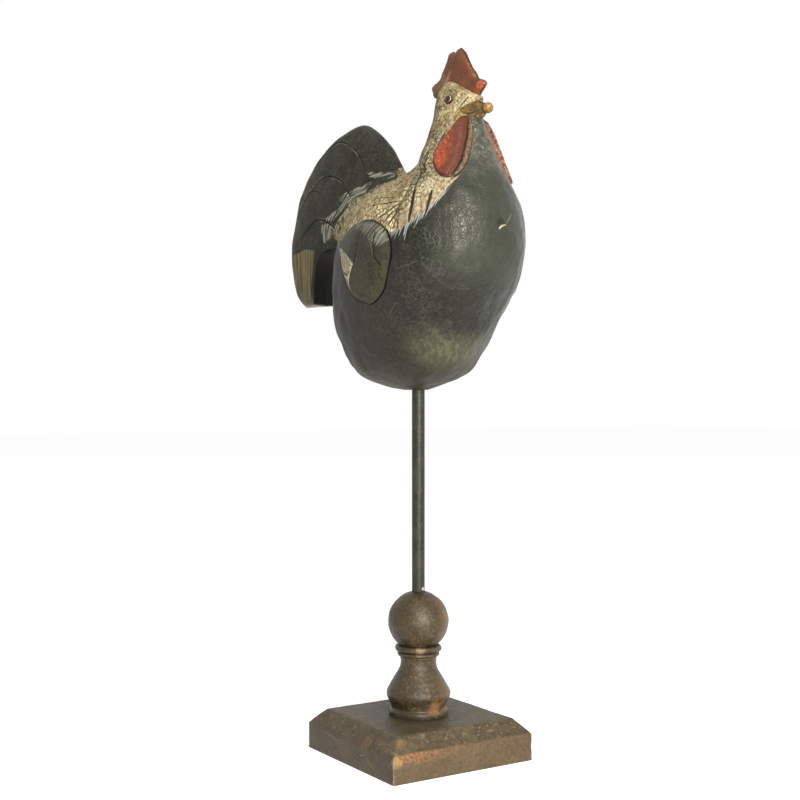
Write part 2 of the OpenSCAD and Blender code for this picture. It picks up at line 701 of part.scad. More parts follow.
// Flat seat and peg hole for that bead
module eye_seat() {
    eye_axis() {
        translate([0, 0, -eye_seat_h])
            cylinder(eye_seat_h + eye_r, r = eye_r + glue_gap, $fn = round_fn);
        translate([0, 0, -eye_peg_h - glue_gap])
            cylinder(eye_peg_h + over, r = eye_peg_r + glue_gap, $fn = round_fn);
    }
}

module eye_right() {
    color("black") on_rod() eye_bead();
}

module eye_left() {
    color("black") on_rod() mirror([1, 0, 0]) eye_bead();
}

module wing_right() {
    color("darkslategray") on_rod() panel(wing, wing_let_in, wing_proud, wing_rim_shares);
}

module wing_left() {
    color("darkslategray") on_rod() mirror([1, 0, 0]) panel(wing, wing_let_in, wing_proud, wing_rim_shares);
}

plinth();
turned_post();
post_screw();
support_rod();
body();
head_neck();
neck_dowel();
tail();
tail_dowels();
comb();
beak();
wattle_right();
wattle_left();
eye_right();
eye_left();
wing_right();
wing_left();
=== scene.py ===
# Carved wooden rooster on a rod: the looks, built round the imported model
# Shapes are worked out in the CAD's millimetres and become metres of the shared frame in make()
import math
import bpy
import numpy as np
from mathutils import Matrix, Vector


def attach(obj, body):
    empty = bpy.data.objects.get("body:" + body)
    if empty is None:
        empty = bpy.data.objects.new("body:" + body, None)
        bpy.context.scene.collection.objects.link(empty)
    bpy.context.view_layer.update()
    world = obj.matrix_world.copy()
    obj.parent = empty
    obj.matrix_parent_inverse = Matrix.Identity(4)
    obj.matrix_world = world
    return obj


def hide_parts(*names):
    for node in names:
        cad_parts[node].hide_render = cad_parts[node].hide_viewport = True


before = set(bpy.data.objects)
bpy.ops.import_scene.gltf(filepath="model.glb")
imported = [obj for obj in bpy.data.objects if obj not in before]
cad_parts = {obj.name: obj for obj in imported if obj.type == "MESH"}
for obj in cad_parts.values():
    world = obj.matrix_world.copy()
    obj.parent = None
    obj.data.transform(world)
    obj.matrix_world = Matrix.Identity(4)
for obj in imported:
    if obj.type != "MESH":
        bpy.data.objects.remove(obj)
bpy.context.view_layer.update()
MM = 0.001

# Stand, in millimetres as in the CAD source
plinth_side, plinth_h, chamfer_w = 120, 30, 10.7
post_h, foot_r, vase_r, waist_r, collar_r, ball_r = 90.5, 21.5, 23.6, 13.2, 17.2, 22.3
collar_bead_r, lower_bead_r, foot_groove = 2.6, 1.7, 1.6
tenon_r, tenon_h = 9, 14
screw_recess_r, screw_recess_h = 4.8, 1
rod_r, rod_gap, socket_h, bore_h, bore_gap = 4.75, 148, 42, 70, 0.05
post_top = plinth_h + post_h
ball_z = post_top - ball_r
figure_z = post_top + rod_gap
vase_height_shares = [0, 0.07, 0.13, 0.36, 0.55, 0.80, 0.93, 1]

# Figure, in millimetres from the foot of its bore: right, ahead and up
figure_turn = 6.5
body_l, body_w, body_h = 175, 120, 157
neck_l, neck_w, neck_y = 84, 65, 41
neck_front_share, neck_back_share = 0.430, 0.360
head_h, head_l, head_w, head_y = 63.5, 38.5, 27.4, 43
tail_l, tail_h, tail_t, tail_front_y, tail_end_z = 145, 138, 23, -10.5, 68.1
comb_l, comb_h, comb_t, comb_back_y, comb_seat_h = 57.5, 39, 8, 16.4, 17
beak_l, beak_h, beak_w, tip_r, mouth_rise = 20, 19, 21, 3.8, 3.4
beak_drop, face_cut = 28.7, 7.2
wattle_h, wattle_w, wattle_proud, wattle_yaw = 45.3, 26.2, 4, 38
wattle_back_u, wattle_drop, wattle_let_in = -10, 29.7, 2.2
wing_l, wing_h, wing_proud, wing_back_y, wing_low_share, wing_let_in = 75, 59, 2.2, -36, 0.385, 2.5
eye_r, eye_proud, eye_y, eye_drop, eye_yaw, eye_seat_h = 3.3, 1.6, 45, 16, 14, 0.9
crown_z = body_h + head_h
face_y = head_y + head_l / 2 - face_cut
beak_z = crown_z - beak_drop
eye_z = crown_z - eye_drop

body_section_shares = [
    [0, 0.04, 0.072, -0.017, 0.14, 0, 0], [0.017, 0.068, 0.165, -0.023, 0.3, 0, 0],
    [0.048, 0.16, 0.258, -0.023, 0.495, 0, 0], [0.093, 0.225, 0.314, -0.011, 0.645, 0, 0],
    [0.188, 0.292, 0.38, 0.011, 0.78, 0, 0], [0.328, 0.364, 0.444, 0.046, 0.898, 0, 0],
    [0.488, 0.466, 0.442, 0.091, 0.978, 0, 0], [0.609, 0.505, 0.455, 0.114, 0.995, 0.12, 0],
    [0.704, 0.512, 0.472, 0.137, 0.97, 0.25, 0], [0.793, 0.501, 0.475, 0.166, 0.9, 0.34, 0],
    [0.863, 0.485, 0.455, 0.189, 0.806, 0.4, 0], [0.928, 0.467, 0.4, 0.235, 0.64, 0.55, 0.03],
    [0.972, 0.457, 0.255, 0.26, 0.53, 0.6, 0.08]]
seam_taper_share, seam_throat_share = 0.50, 0.12
neck_blend_shares = [
    [0.07, 0.9, 0.5, 0.86, 1], [0.165, 0.78, 0.36, 0.72, 1], [0.32, 0.55, 0.22, 0.44, 1],
    [0.48, 0.28, 0.07, 0.18, 0.9]]
head_section_shares = [
    [0.62, 1.03, 1, -0.08, 1, 0.05], [0.735, 1.27, 0.94, -0.08, 0.93, 0.05],
    [0.8, 1.05, 0.9, -0.09, 0.88, 0], [0.88, 0.6, 0.84, -0.135, 0.73, 0],
    [0.953, 0.19, 0.68, -0.243, 0.46, 0], [1, -0.12, 0.44, -0.285, 0.17, 0]]
tail_outline_shares = [
    [0.272, 0, 0], [0.097, 0, 1], [0.062, 0.037, 1], [0.038, 0.088, 1], [0.017, 0.147, 1], [0.003, 0.22, 1],
    [0, 0.293, 1], [0.007, 0.366, 1], [0.024, 0.443, 1], [0.045, 0.527, 1], [0.072, 0.608, 1],
    [0.11, 0.689, 1], [0.159, 0.762, 1], [0.224, 0.832, 1], [0.3, 0.894, 1], [0.397, 0.949, 1],
    [0.493, 0.982, 1], [0.59, 1, 1], [0.659, 0.989, 1], [0.728, 0.949, 1], [0.79, 0.901, 1],
    [0.845, 0.846, 1], [0.886, 0.795, 1], [0.928, 0.74, 1], [0.962, 0.685, 0.9], [0.993, 0.637, 0.4],
    [1, 0.593, 0], [0.962, 0.549, 0], [0.728, 0.476, 0], [0.645, 0.41, 0], [0.59, 0.315, 0],
    [0.479, 0.311, 0], [0.41, 0.311, 0], [0.355, 0.3, 0], [0.314, 0.271, 0], [0.286, 0.22, 0],
    [0.276, 0.147, 0]]
tail_centre_shares = [0.200, 0.440]
tail_rim_shares = [[0, 1], [0.4, 1], [0.65, 0.95], [0.85, 0.78], [0.95, 0.55], [1, 0.28]]
comb_outline_shares = [
    [0.807, 0.038, 1], [0.11, 0.18, 1], [0.018, 0.308, 1], [0, 0.41, 1], [0.064, 0.474, 1],
    [0.165, 0.513, 1], [0.211, 0.641, 1], [0.266, 0.731, 1], [0.312, 0.859, 1], [0.339, 0.949, 1],
    [0.394, 0.974, 1], [0.45, 0.936, 1], [0.495, 0.987, 1], [0.541, 1, 1], [0.578, 0.962, 1],
    [0.606, 0.91, 1], [0.661, 0.795, 1], [0.734, 0.615, 1], [0.807, 0.487, 1], [0.853, 0.372, 1],
    [0.899, 0.333, 1], [0.963, 0.295, 1], [1, 0.238, 1], [0.963, 0.167, 1], [0.899, 0.09, 1]]
comb_centre_shares = [0.51, 0.41]
comb_rim_shares = [[0, 1], [0.78, 1], [0.93, 0.82], [1, 0.35]]
beak_section_shares = [
    [-0.12, 0.92, 0.62, 0.24, 0], [0, 1, 0.64, 0.26, 0], [0.18, 0.88, 0.6, 0.27, 0.1],
    [0.4, 0.68, 0.52, 0.27, 0.3], [0.6, 0.5, 0.42, 0.25, 0.55], [0.8, 0.3, 0.26, 0.19, 0.8],
    [0.97, 0.16, 0.12, 0.11, 1]]
wattle_outline_shares = [
    [0.6, 0.955], [0.735, 1], [0.89, 0.975], [0.99, 0.8], [0.995, 0.583], [0.945, 0.351], [0.84, 0.148],
    [0.653, 0.024], [0.45, 0.002], [0.229, 0.04], [0.038, 0.203], [0.004, 0.397], [0.145, 0.574],
    [0.37, 0.766]]
wattle_centre_shares = [0.52, 0.40]
wattle_rim_shares = [[0, 1], [0.55, 1], [0.8, 0.92], [0.94, 0.72], [1, 0.4]]
# Crease of a wattle between its lobe and the band at its front
wattle_crease_shares = [
    [0.88, 1.05], [0.874, 0.89], [0.87, 0.698], [0.824, 0.521], [0.775, 0.318], [0.691, 0.166],
    [0.592, 0.062], [0.508, -0.05]]
wing_outline_shares = [
    [0.07, 0.86], [0.28, 0.955], [0.6, 1], [0.79, 0.942], [0.93, 0.847], [0.985, 0.724], [1, 0.583],
    [0.95, 0.354], [0.86, 0.131], [0.71, 0.002], [0.62, 0.005], [0.41, 0.107], [0.25, 0.364], [0.12, 0.615],
    [0, 0.79]]
wing_centre_shares = [0.57, 0.52]
wing_rim_shares = [[0, 1], [0.5, 1], [0.8, 1], [0.93, 0.85], [1, 0.45]]

# Mesh density: points round and rows of the bigger pieces
skin_n, body_rows_n, head_rows_n = 420, 214, 148
slab_n, slab_rows_n = 440, 98


# Curves
def join(*parts):
    """Points from coordinates."""
    return np.stack(np.broadcast_arrays(*parts), -1)


def turn(degrees):
    a = math.radians(degrees)
    return math.cos(a), math.sin(a)


def toward(a, b, share):
    return a + (b - a) * share


def smooth(table, x):
    """Smooth curve through a table whose first column rises: every other column at x."""
    t = np.asarray(table, float)
    x = np.asarray(x, float)
    last = len(t) - 1
    k = np.clip(np.searchsorted(t[:, 0], x, side="right") - 1, 0, last - 1)
    a, b = np.maximum(np.arange(last + 1) - 1, 0), np.minimum(np.arange(last + 1) + 1, last)
    slope = (t[b, 1:] - t[a, 1:]) / (t[b, 0] - t[a, 0])[:, None]
    h = (t[k + 1, 0] - t[k, 0])[..., None]
    s = (x - t[k, 0])[..., None] / h
    return ((2 * s**3 - 3 * s**2 + 1) * t[k, 1:] + (s**3 - 2 * s**2 + s) * h * slope[k]
            + (3 * s**2 - 2 * s**3) * t[k + 1, 1:] + (s**3 - s**2) * h * slope[k + 1])


def bent(points, closed, steps=8):
    """Catmull-Rom curve through points."""
    p = np.asarray(points, float)
    p = np.concatenate([p[-1:], p, p[:2]]) if closed else np.concatenate([p[:1], p, p[-1:]])
    s = (np.arange(steps) / steps)[None, :, None]
    a, b, c, d = (p[k:len(p) - 3 + k, None] for k in range(4))
    curve = (b + (c - a) * s / 2 + (2 * a - 5 * b + 4 * c - d) * s**2 / 2
             + (3 * b - a - 3 * c + d) * s**3 / 2).reshape(-1, p.shape[1])
    return curve if closed else np.concatenate([curve, p[-2:-1]])


def run_along(p):
    """Length along rows of points, as the mean of their columns."""
    step = np.linalg.norm(np.diff(p, axis=0), axis=-1)
    return np.concatenate([[0], np.cumsum(step.reshape(len(step), -1).mean(1))])


def spaced(p, values, count):
    """Values at equal steps along rows of points."""
    run = run_along(p)
    return np.interp(np.linspace(0, run[-1], count), run, values)


def even(points, count, closed=True):
    """Points at equal steps along a line."""
    p = np.concatenate([points, points[:1]]) if closed else np.asarray(points, float)
    columns = join(*(spaced(p[:, :2], column, count + closed) for column in p.T))
    return columns[:-1] if closed else columns


def line_distance(x, z, line):
    """Distance from each place to a line, and the share of the line where it is nearest."""
    p = np.asarray(line, float)
    best, along, run = np.full(np.shape(x), 1e9), np.zeros(np.shape(x)), 0
    for (ax, az), (bx, bz) in zip(p[:-1], p[1:]):
        dx, dz = bx - ax, bz - az
        length = math.hypot(dx, dz)
        s = np.clip(((x - ax) * dx + (z - az) * dz) / length**2, 0, 1)
        d = np.hypot(x - ax - s * dx, z - az - s * dz)
        along = np.where(d < best, run + s * length, along)
        best = np.minimum(d, best)
        run += length
    return best, along / run


def region(x, z, polygon):
    """Signed distance to a closed outline, above zero inside it."""
    p = np.asarray(polygon, float)
    odd = np.zeros(np.shape(x), bool)
    for (ax, az), (bx, bz) in zip(p, np.roll(p, -1, 0)):
        if az != bz:
            odd ^= ((az > z) != (bz > z)) & (x < (bx - ax) * (z - az) / (bz - az) + ax)
    d = near(x, z, np.concatenate([p, p[:1]]))
    return np.where(odd, d, -d)


def near(x, z, line):
    return line_distance(x, z, line)[0]


def slit(x, z, line, width):
    """Signed distance to a slit that is widest at its middle."""
    d, s = line_distance(x, z, bent(line, False, 4))
    return width / 2 * np.clip(np.sin(np.pi * s), 0, 1) ** 0.35 - d


def waves(p, size, seed, count=26):
    """Soft random lumps about size wide, between about -1 and 1."""
    rng = np.random.default_rng(seed)
    total = np.zeros(p.shape[:-1])
    for _ in range(count):
        way = rng.normal(size=3)
        way *= 2 * np.pi / (size * rng.uniform(0.8, 2.2) * np.linalg.norm(way))
        total += np.cos(p @ way + rng.uniform(0, 2 * np.pi))
    return total / math.sqrt(count)


def groove(d, width):
    """Profile of a cut: 1 at its middle, 0 at its edges."""
    return np.exp(-(d / (0.5 * width)) ** 2)


def step_up(x, low, high):
    s = np.clip((x - low) / (high - low), 0, 1)
    return s * s * (3 - 2 * s)


# Surface of the body, neck and head
neck_front = neck_y + neck_front_share * neck_l
neck_back = neck_y - neck_back_share * neck_l
head_rows = [[body_h + s[0] * head_h, head_y + s[1] * head_l / 2, head_y - s[2] * head_l / 2,
              head_y + s[3] * head_l / 2, s[4] * head_w / 2, 0, s[5]] for s in head_section_shares]


seam_row = [body_h, neck_front, neck_back, neck_y, neck_w / 2, seam_taper_share, seam_throat_share]
face_row = head_rows[0]
body_rows = [[s[0] * body_h, s[1] * body_l, -s[2] * body_l, s[3] * body_l, s[4] * body_w / 2, s[5], s[6]]
             for s in body_section_shares]
neck_rows = [[body_h + s[0] * head_h] + [toward(face_row[n], seam_row[n], s[m])
                                         for n, m in ((1, 1), (2, 2), (3, 1), (4, 3))]
             + [seam_taper_share * s[2], toward(face_row[6], seam_throat_share, s[4])]
             for s in neck_blend_shares]
figure_rows = body_rows + [seam_row] + neck_rows + head_rows


def skin_point(angle, z):
    v = smooth(figure_rows, z)
    c = np.cos(angle)
    narrow = np.where(c < 0, v[..., 4], v[..., 5])
    reach_out = np.where(c > 0, v[..., 0] - v[..., 2], v[..., 2] - v[..., 1])
    return join(v[..., 3] * np.sin(angle) * (1 - narrow * c**2), v[..., 2] + c * reach_out, z)


def half_width(ahead, z):
    v = smooth(figure_rows, z)
    fore = ahead > v[..., 2]
    u = np.where(fore, (ahead - v[..., 2]) / (v[..., 0] - v[..., 2]),
                 (v[..., 2] - ahead) / (v[..., 2] - v[..., 1]))
    w = v[..., 3] * np.sqrt(np.clip(1 - u**2, 0, 1)) * (1 - np.where(fore, v[..., 5], v[..., 4]) * u**2)
    return np.where(u >= 1, -1, w)


def reach(u, z, yaw, mid):
    """Distance from the middle plane out to the surface, along a line that faces yaw forward."""
    low, high = np.zeros(np.shape(u)), np.full(np.shape(u), float(body_w))
    c, s = turn(yaw)
    for _ in range(24):
        t = (low + high) / 2
        inside = np.abs(t * c - u * s) < half_width(mid + u * c + t * s, z)
        low, high = np.where(inside, t, low), np.where(inside, high, t)
    return low


def outline_of(shares, back, low, size_l, size_h):
    return [[back + s[0] * size_l, low + s[1] * size_h] + list(s[2:]) for s in shares]


wattle_low_z = crown_z - wattle_drop - wattle_h
tail_place = (tail_front_y - tail_l, tail_end_z, tail_l, tail_h)
comb_place = (comb_back_y, crown_z - comb_seat_h, comb_l, comb_h)
wing_place = (wing_back_y, wing_low_share * body_h, wing_l, wing_h)
wattle_place = (wattle_back_u, wattle_low_z, wattle_w, wattle_h)
tail_outline = outline_of(tail_outline_shares, *tail_place)
comb_outline = outline_of(comb_outline_shares, *comb_place)
wing_outline = bent(outline_of(wing_outline_shares, *wing_place), True)
wattle_outline = bent(outline_of(wattle_outline_shares, *wattle_place), True)
tail_centre, comb_centre, wing_centre, wattle_centre = (
    outline_of([shares], *place)[0] for shares, place in (
        (tail_centre_shares, tail_place), (comb_centre_shares, comb_place),
        (wing_centre_shares, wing_place), (wattle_centre_shares, wattle_place)))
wattle_crease = outline_of(wattle_crease_shares, *wattle_place)
wattle_lobe = np.array(wattle_crease + [[-30, wattle_low_z - 5], [-30, wattle_low_z + 60]])

# Painted and cut lines of the figure: ahead and up
cape_edge = [
    (70.9, 144.2), (70.3, 138.4), (68.9, 133.9), (66.9, 128.9), (64.5, 124), (61.3, 121), (56.9, 116.9),
    (52.4, 113.5), (47.5, 110.8), (42, 109), (37, 108.4)]
cream_plan = [(61, 190), (60, 170), (63, 155)] + cape_edge + [
    (30, 106), (0, 104), (-33, 105), (-45, 109), (-80, 118), (-110, 118), (-110, 250), (80, 250),
    (80, 193)]
cape_crease = [
    (40.4, 144.1), (42.9, 137.2), (43.1, 130.7), (40.4, 125.8), (38.8, 123.4)]
saddle_plan = cape_crease + [
    (43, 108), (30, 95), (-130, 95), (-130, 165), (-20, 162), (10, 157), (24, 154), (34, 150)]
slits = [
    ([(48.2, 139), (50.5, 134), (51.6, 126), (51.4, 113.5)], 2),
    ([(61.6, 136.5), (62.5, 129.5), (62.4, 123.5), (61.6, 117.5)], 1.6)]
neck_strokes = [
    [(32.6, 186), (36.2, 178.5), 2.55], [(36.2, 178.5), (33.4, 172.5), 2.21],
    [(52.2, 180), (51.3, 173), 2.55], [(51.3, 173.5), (50.4, 166), 2.04],
    [(44.4, 165.5), (44.9, 158), 2.21], [(44.9, 158.5), (45.2, 149.5), 2.72],
    [(40.2, 153), (45.2, 146.6), 2.21], [(45.2, 147), (48.6, 139.6), 2.38],
    [(41.5, 141.5), (47.5, 141), 1.53]]
cape_fringe = [
    [(69.5, 137), (68, 128), 0.6], [(68.4, 135), (66.9, 124.5), 0.5], [(67.7, 131), (65, 123), 0.7],
    [(66.3, 129), (63.8, 120.5), 0.6], [(64.8, 126.4), (62.5, 117.5), 0.8], [(61.9, 123), (60.1, 116), 0.6],
    [(58.3, 119.5), (57.2, 112.5), 0.9], [(60.2, 120.5), (58.8, 115), 0.5],
    [(52.4, 113.8), (50.6, 107), 0.8], [(50.8, 113.5), (49.2, 105), 0.9], [(52.5, 114.2), (49.5, 102), 0.6],
    [(47.5, 111.2), (45.6, 105), 0.7], [(44, 110), (42.2, 103.6), 0.6], [(40, 109.4), (38.4, 104), 0.6]]
saddle_rays = [
    [(43, 129.3), (6.6, 130.3), 1.3], [(42.5, 128), (21.8, 118.8), 1.7],
    [(42.2, 126.7), (30.1, 114.4), 1.5], [(43, 124.3), (35.3, 112.5), 1.9],
    [(43.2, 120.8), (40.1, 110), 1.7], [(44, 117.3), (43.6, 109), 1.5], [(33, 128.3), (13.3, 118.3), 1.1],
    [(-5.2, 126.7), (-7.2, 121), 1.9], [(35.5, 133.1), (4.6, 135.9), 1.1],
    [(37.9, 123.5), (32, 117.8), 1.3]]
tail_arcs = [
    [(-49.4, 166.6), (-53.8, 172), (-58.3, 178.8), (-64, 184.8), (-69.7, 188.8), (-79, 193.6), (-88.3, 195),
     (-97, 193.8), (-109, 186.3), (-118.8, 177.7), (-126.2, 168.5), (-132.5, 159.9), (-138.8, 151.2)],
    [(-69.7, 150), (-74.3, 156.8), (-79, 162.3), (-87.1, 166.8), (-97.8, 169.3), (-106.2, 168.6),
     (-113.6, 165.3), (-121.2, 160.7), (-130, 154.5), (-136.2, 148), (-140.1, 141.1)],
    [(-89.5, 127.8), (-101.4, 134), (-109.8, 136.3), (-116, 135.5), (-123.4, 131.2), (-131.2, 126.4),
     (-136.2, 118.9), (-137.6, 106.7)]]
tail_branch = [(-107.4, 156.7), (-116, 159.9), (-124.6, 159.5)]
saddle_on_tail = [
    (2.2, 156.5), (-16.5, 156.2), (-36.9, 154.1), (-51.2, 149.1), (-65.9, 147.4), (-75.8, 139.2),
    (-81.7, 134.8), (-88.9, 127.8), (-90, 121.3), (-84, 115.7), (2, 112)]
tail_root_cream = [
    (-12.6, 150), (-13.8, 156), (-18.2, 161.2), (-19.6, 165.6), (-14, 170), (5, 170), (5, 150)]
tail_low_cream = [
    (-127.2, 114.3), (-116, 111.9), (-120.9, 79.9), (-117.2, 66), (-130.9, 66), (-160, 66), (-160, 108),
    (-146.2, 110.8)]
tail_strokes = [
    [(-47, 166.2), (-17.8, 161.6), (-18.8, 156.4), (-45.8, 162)],
    [(-83.4, 149.5), (-74.1, 153.2), (-62.6, 154.6), (-42.6, 157.5), (-53.6, 148), (-76.4, 143.8)],
    [(-101.2, 136), (-84.6, 141.9), (-73, 148.9), (-68.4, 145.6), (-82.2, 138.8), (-92.9, 132.3)],
    [(-107.2, 130.9), (-96.4, 132.6), (-88.1, 126.9), (-94.1, 119.7), (-104.8, 117.2)]]
wing_cream = [
    [(-21.8, 102.2), (-9.7, 96.4), (-0.8, 90.4), (-2, 87.3), (-4.9, 82.5), (-7.5, 76.4), (-7.8, 70.7),
     (-8.5, 66), (-16.6, 78), (-27, 93), (-32, 104)],
    [(-20.6, 87.2), (-8.4, 82.2), (-8.8, 80.8), (-21, 85.6)]]
wing_stroke_plan = [
    (-9.8, 119), (9.9, 119), (24, 116), (36, 108.5), (37.1, 102.7), (29, 99), (20.9, 104.7), (6, 112)]
wing_lines = [
    [(6.9, 113.8), (5.3, 108.2), (3.8, 102), (3.3, 96.3), (1.1, 90.8), (-2, 87.3), (-4.9, 82.5),
     (-7.5, 76.4), (-7.8, 70.7)],
    [(24.7, 108.7), (23.5, 103.8), (23.6, 97), (25.3, 91.3), (30.2, 86)],
    [(-16, 112), (-7.2, 108.4), (1.6, 105.8)]]
body_scratches = [
    [(42, 82.5), (58, 87.5), 0.6], [(28, 52), (36, 60), 0.6], [(-8, 30), (6, 22), 0.6],
    [(12, 44), (24, 40), 0.5], [(44, 16), (58, 24), 0.6], [(8, 74), (15, 62), 0.5]]
head_strokes = [
    [(52.6, 203.4), (56.4, 201.6), 0.8], [(46.2, 211.8), (51.4, 207.6), 0.8],
    [(62.6, 204.4), (55.6, 196), 0.9], [(44, 194), (40, 186), 0.7]]
plinth_nicks = [
    [(-24, 12), (-34, 6), 1], [(-16, 11), (-22, 12.5), 1.2], [(-30, 22), (-12, 20), 0.7],
    [(2, 22), (20, 24), 0.7], [(14, 15), (34, 17), 0.6]]
plinth_gouges = [
    [(-6, 9), (-22, 6), 1.6], [(-12, 11), (-19, 9), 1.2], [(4, 18), (16, 17), 1]]


# Meshes
def to_frame(p):
    """Figure millimetres to metres of the shared frame."""
    c, s = turn(figure_turn)
    x, y = -p[..., 0], -p[..., 1]
    return MM * join(x * c - y * s, x * s + y * c, figure_z + p[..., 2])


def outward(g):
    """Normals of a closed grid of rings."""
    n = np.cross(np.gradient(g, axis=0), (np.roll(g, -1, 1) - np.roll(g, 1, 1)) / 2)
    if np.sum((g - g.reshape(-1, 3).mean(0)) * n) < 0:
        n = -n
    return n / np.maximum(np.linalg.norm(n, axis=-1, keepdims=True), 1e-9)


def raised(g, height):
    return g + outward(g) * height[..., None]


def add(name, data):
    obj = bpy.data.objects.new(name, data)
    bpy.context.scene.collection.objects.link(obj)
    return obj


def make(name, rings, body, nodes, fields, sharp=48):
    """One closed mesh through rings of points, with a pole at each end."""
    rows, cols = rings.shape[:2]

    def closed(v):
        return np.concatenate([v.reshape((rows * cols,) + v.shape[2:]), v[:1].mean(1), v[-1:].mean(1)])

    points = closed(rings)
    k, j = np.arange(cols), (np.arange(cols) + 1) % cols
    i = np.arange(rows - 1)[:, None] * cols
    quads = np.stack([i + k, i + j, i + cols + j, i + cols + k], -1).reshape(-1, 4)
    start, end, last = rows * cols, rows * cols + 1, (rows - 1) * cols
    tris = np.concatenate([join(j, k, start), join(last + k, last + j, end)])
    a, b, c, d = (points[quads[:, n]] for n in range(4))
    if np.sum(a * np.cross(b, c)) + np.sum(a * np.cross(c, d)) < 0:
        quads, tris = quads[:, ::-1], tris[:, ::-1]
    mesh = bpy.data.meshes.new(name)
    world = to_frame(points) if body == "figure" else MM * points
    mesh.from_pydata(world.tolist(), [], quads.tolist() + tris.tolist())
    mesh.polygons.foreach_set("use_smooth", [True] * len(mesh.polygons))
    mesh.set_sharp_from_angle(angle=math.radians(sharp))
    mesh.attributes.new("place", "FLOAT_VECTOR", "POINT").data.foreach_set("vector", points.ravel())
    for key, value in fields.items():
        value = closed(np.broadcast_to(value, (rows, cols)))
        mesh.attributes.new(key, "FLOAT", "POINT").data.foreach_set("value", value.ravel())
    obj = add(name, mesh)
    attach(obj, body)
    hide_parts(*nodes)


# Body, neck and head: one skin, parted at the neck seam
def skin_fields(p):
    """Paint masks of the skin, as signed distances."""
    x, z = p[..., 1], p[..., 2]
    c, s = turn(wattle_yaw)
    right, fore = np.abs(p[..., 0]), x - neck_y
    u, facing = fore * c - right * s, right * c + fore * s
    return dict(cream=region(x, z, cream_plan), wing_in=region(x, z, wing_outline[::3]),
                wattle_in=np.where(facing > 0, region(u, z, wattle_outline[::3]), -99),
                slit=np.max([slit(x, z, line, width) for line, width in slits], axis=0),
                crease=near(x, z, bent(cape_crease, False)), saddle=region(x, z, saddle_plan))


def skin_height(p, f):
    """Cuts and tool marks of the skin, above or below the smooth form."""
    near_neck = step_up(p[..., 2], 150, 185)
    h = 0.34 * waves(p, 16, 3) * (1 - 0.6 * near_neck) + 0.10 * waves(p, 6, 4)
    h = h - 1.2 * step_up(f["wing_in"], -1.0, 0.5) - 1.0 * step_up(f["wattle_in"], -0.9, 0.4)
    h = h - 0.8 * step_up(f["slit"], -0.5, 0.5) - 0.9 * groove(f["crease"], 2.6)
    chip = np.linalg.norm((p - np.array([2, 89, 111])) / [2.2, 3, 1.6], axis=-1)
    return h - 0.8 * np.exp(-chip**2)


def ring(radius, z, at=(0, 0), angle=None):
    angle = angles if angle is None else angle
    return join(at[0] + radius * np.sin(angle), at[1] + radius * np.cos(angle), z)


def skin_piece(name, before, rows, after, node):
    """A part of the skin with more rings before and after it, whose masks repeat the nearest ring's."""
    counts = [1] * (rows.stop - rows.start)
    counts[0] += len(before)
    counts[-1] += len(after)
    masks = {key: np.repeat(mask[rows], counts, 0) for key, mask in skin_mask.items()}
    make(name, np.concatenate([before, skin[rows], after]), "figure", [node], masks)


round_angles = np.linspace(0, 2 * np.pi, 2000)
angles = spaced(skin_point(round_angles, 0.6 * body_h + 0 * round_angles), round_angles, skin_n + 1)[:-1]


def skin_heights(low, high, count):
    z = np.linspace(low, high, 1500)
    return spaced(skin_point(np.linspace(0, 2 * np.pi, 48, endpoint=False), z[:, None]), z, count)


skin_z = np.concatenate([skin_heights(0, body_h, body_rows_n),
                         skin_heights(body_h, crown_z, head_rows_n)[1:]])
skin = skin_point(angles, skin_z[:, None])
skin_mask = skin_fields(skin)
skin = raised(skin, skin_height(skin, skin_mask) * step_up(skin[..., 2], 0, 3))
bore = [ring(rod_r + bore_gap, z) for z in np.linspace(bore_h, 0, 8)]
foot = [toward(bore[-1], skin[0], s) for s in (0.15, 0.5, 0.9)]
caps = [toward(skin[body_rows_n - 1], ring(0.5, body_h, (0, neck_y)), s) for s in (0.08, 0.5, 0.95)]
crown = [toward(skin[-1], ring(0.2, crown_z, (0, skin[-1][:, 1].mean())), s) for s in (0.4, 0.95)]
skin_piece("carved_body", bore + foot, slice(0, body_rows_n), caps, "body")
skin_piece("carved_head", caps[::-1], slice(body_rows_n - 1, len(skin)), crown, "head_neck")


# Upright slabs in the middle plane: tail and comb
def slab(outline, centre, thick, rim, rows, flat_edge_r, round_edge_r):
    """Rings of a slab from its right middle over its rim to its left middle."""
    p, thin = outline[:, :2], np.clip(outline[:, 2], 0, 1)
    edge = flat_edge_r + (round_edge_r - flat_edge_r) * thin
    edge_share = edge / np.linalg.norm(p - centre, axis=1)
    bevel = np.radians([15, 30, 45, 60, 75])[:, None]
    shares = np.concatenate([np.linspace(0.02, 1, rows)[:, None] * (1 - edge_share),
                             1 - edge_share * (1 - np.sin(bevel)), np.ones((1, len(p)))])
    x, z = (centre[n] + shares * (p[:, n] - centre[n]) for n in (0, 1))
    inner = 1 - np.clip(region(x, z, p[::3]) / edge, 0, 1)
    inner[-1] = 1
    half = thick / 2 * (1 - thin * (1 - smooth(rim, np.clip(shares, 0, 1))[..., 0]))
    side = join(half * np.sqrt(1 - inner**2), x, z)
    return np.concatenate([side, side[-2::-1] * [-1, 1, 1]])


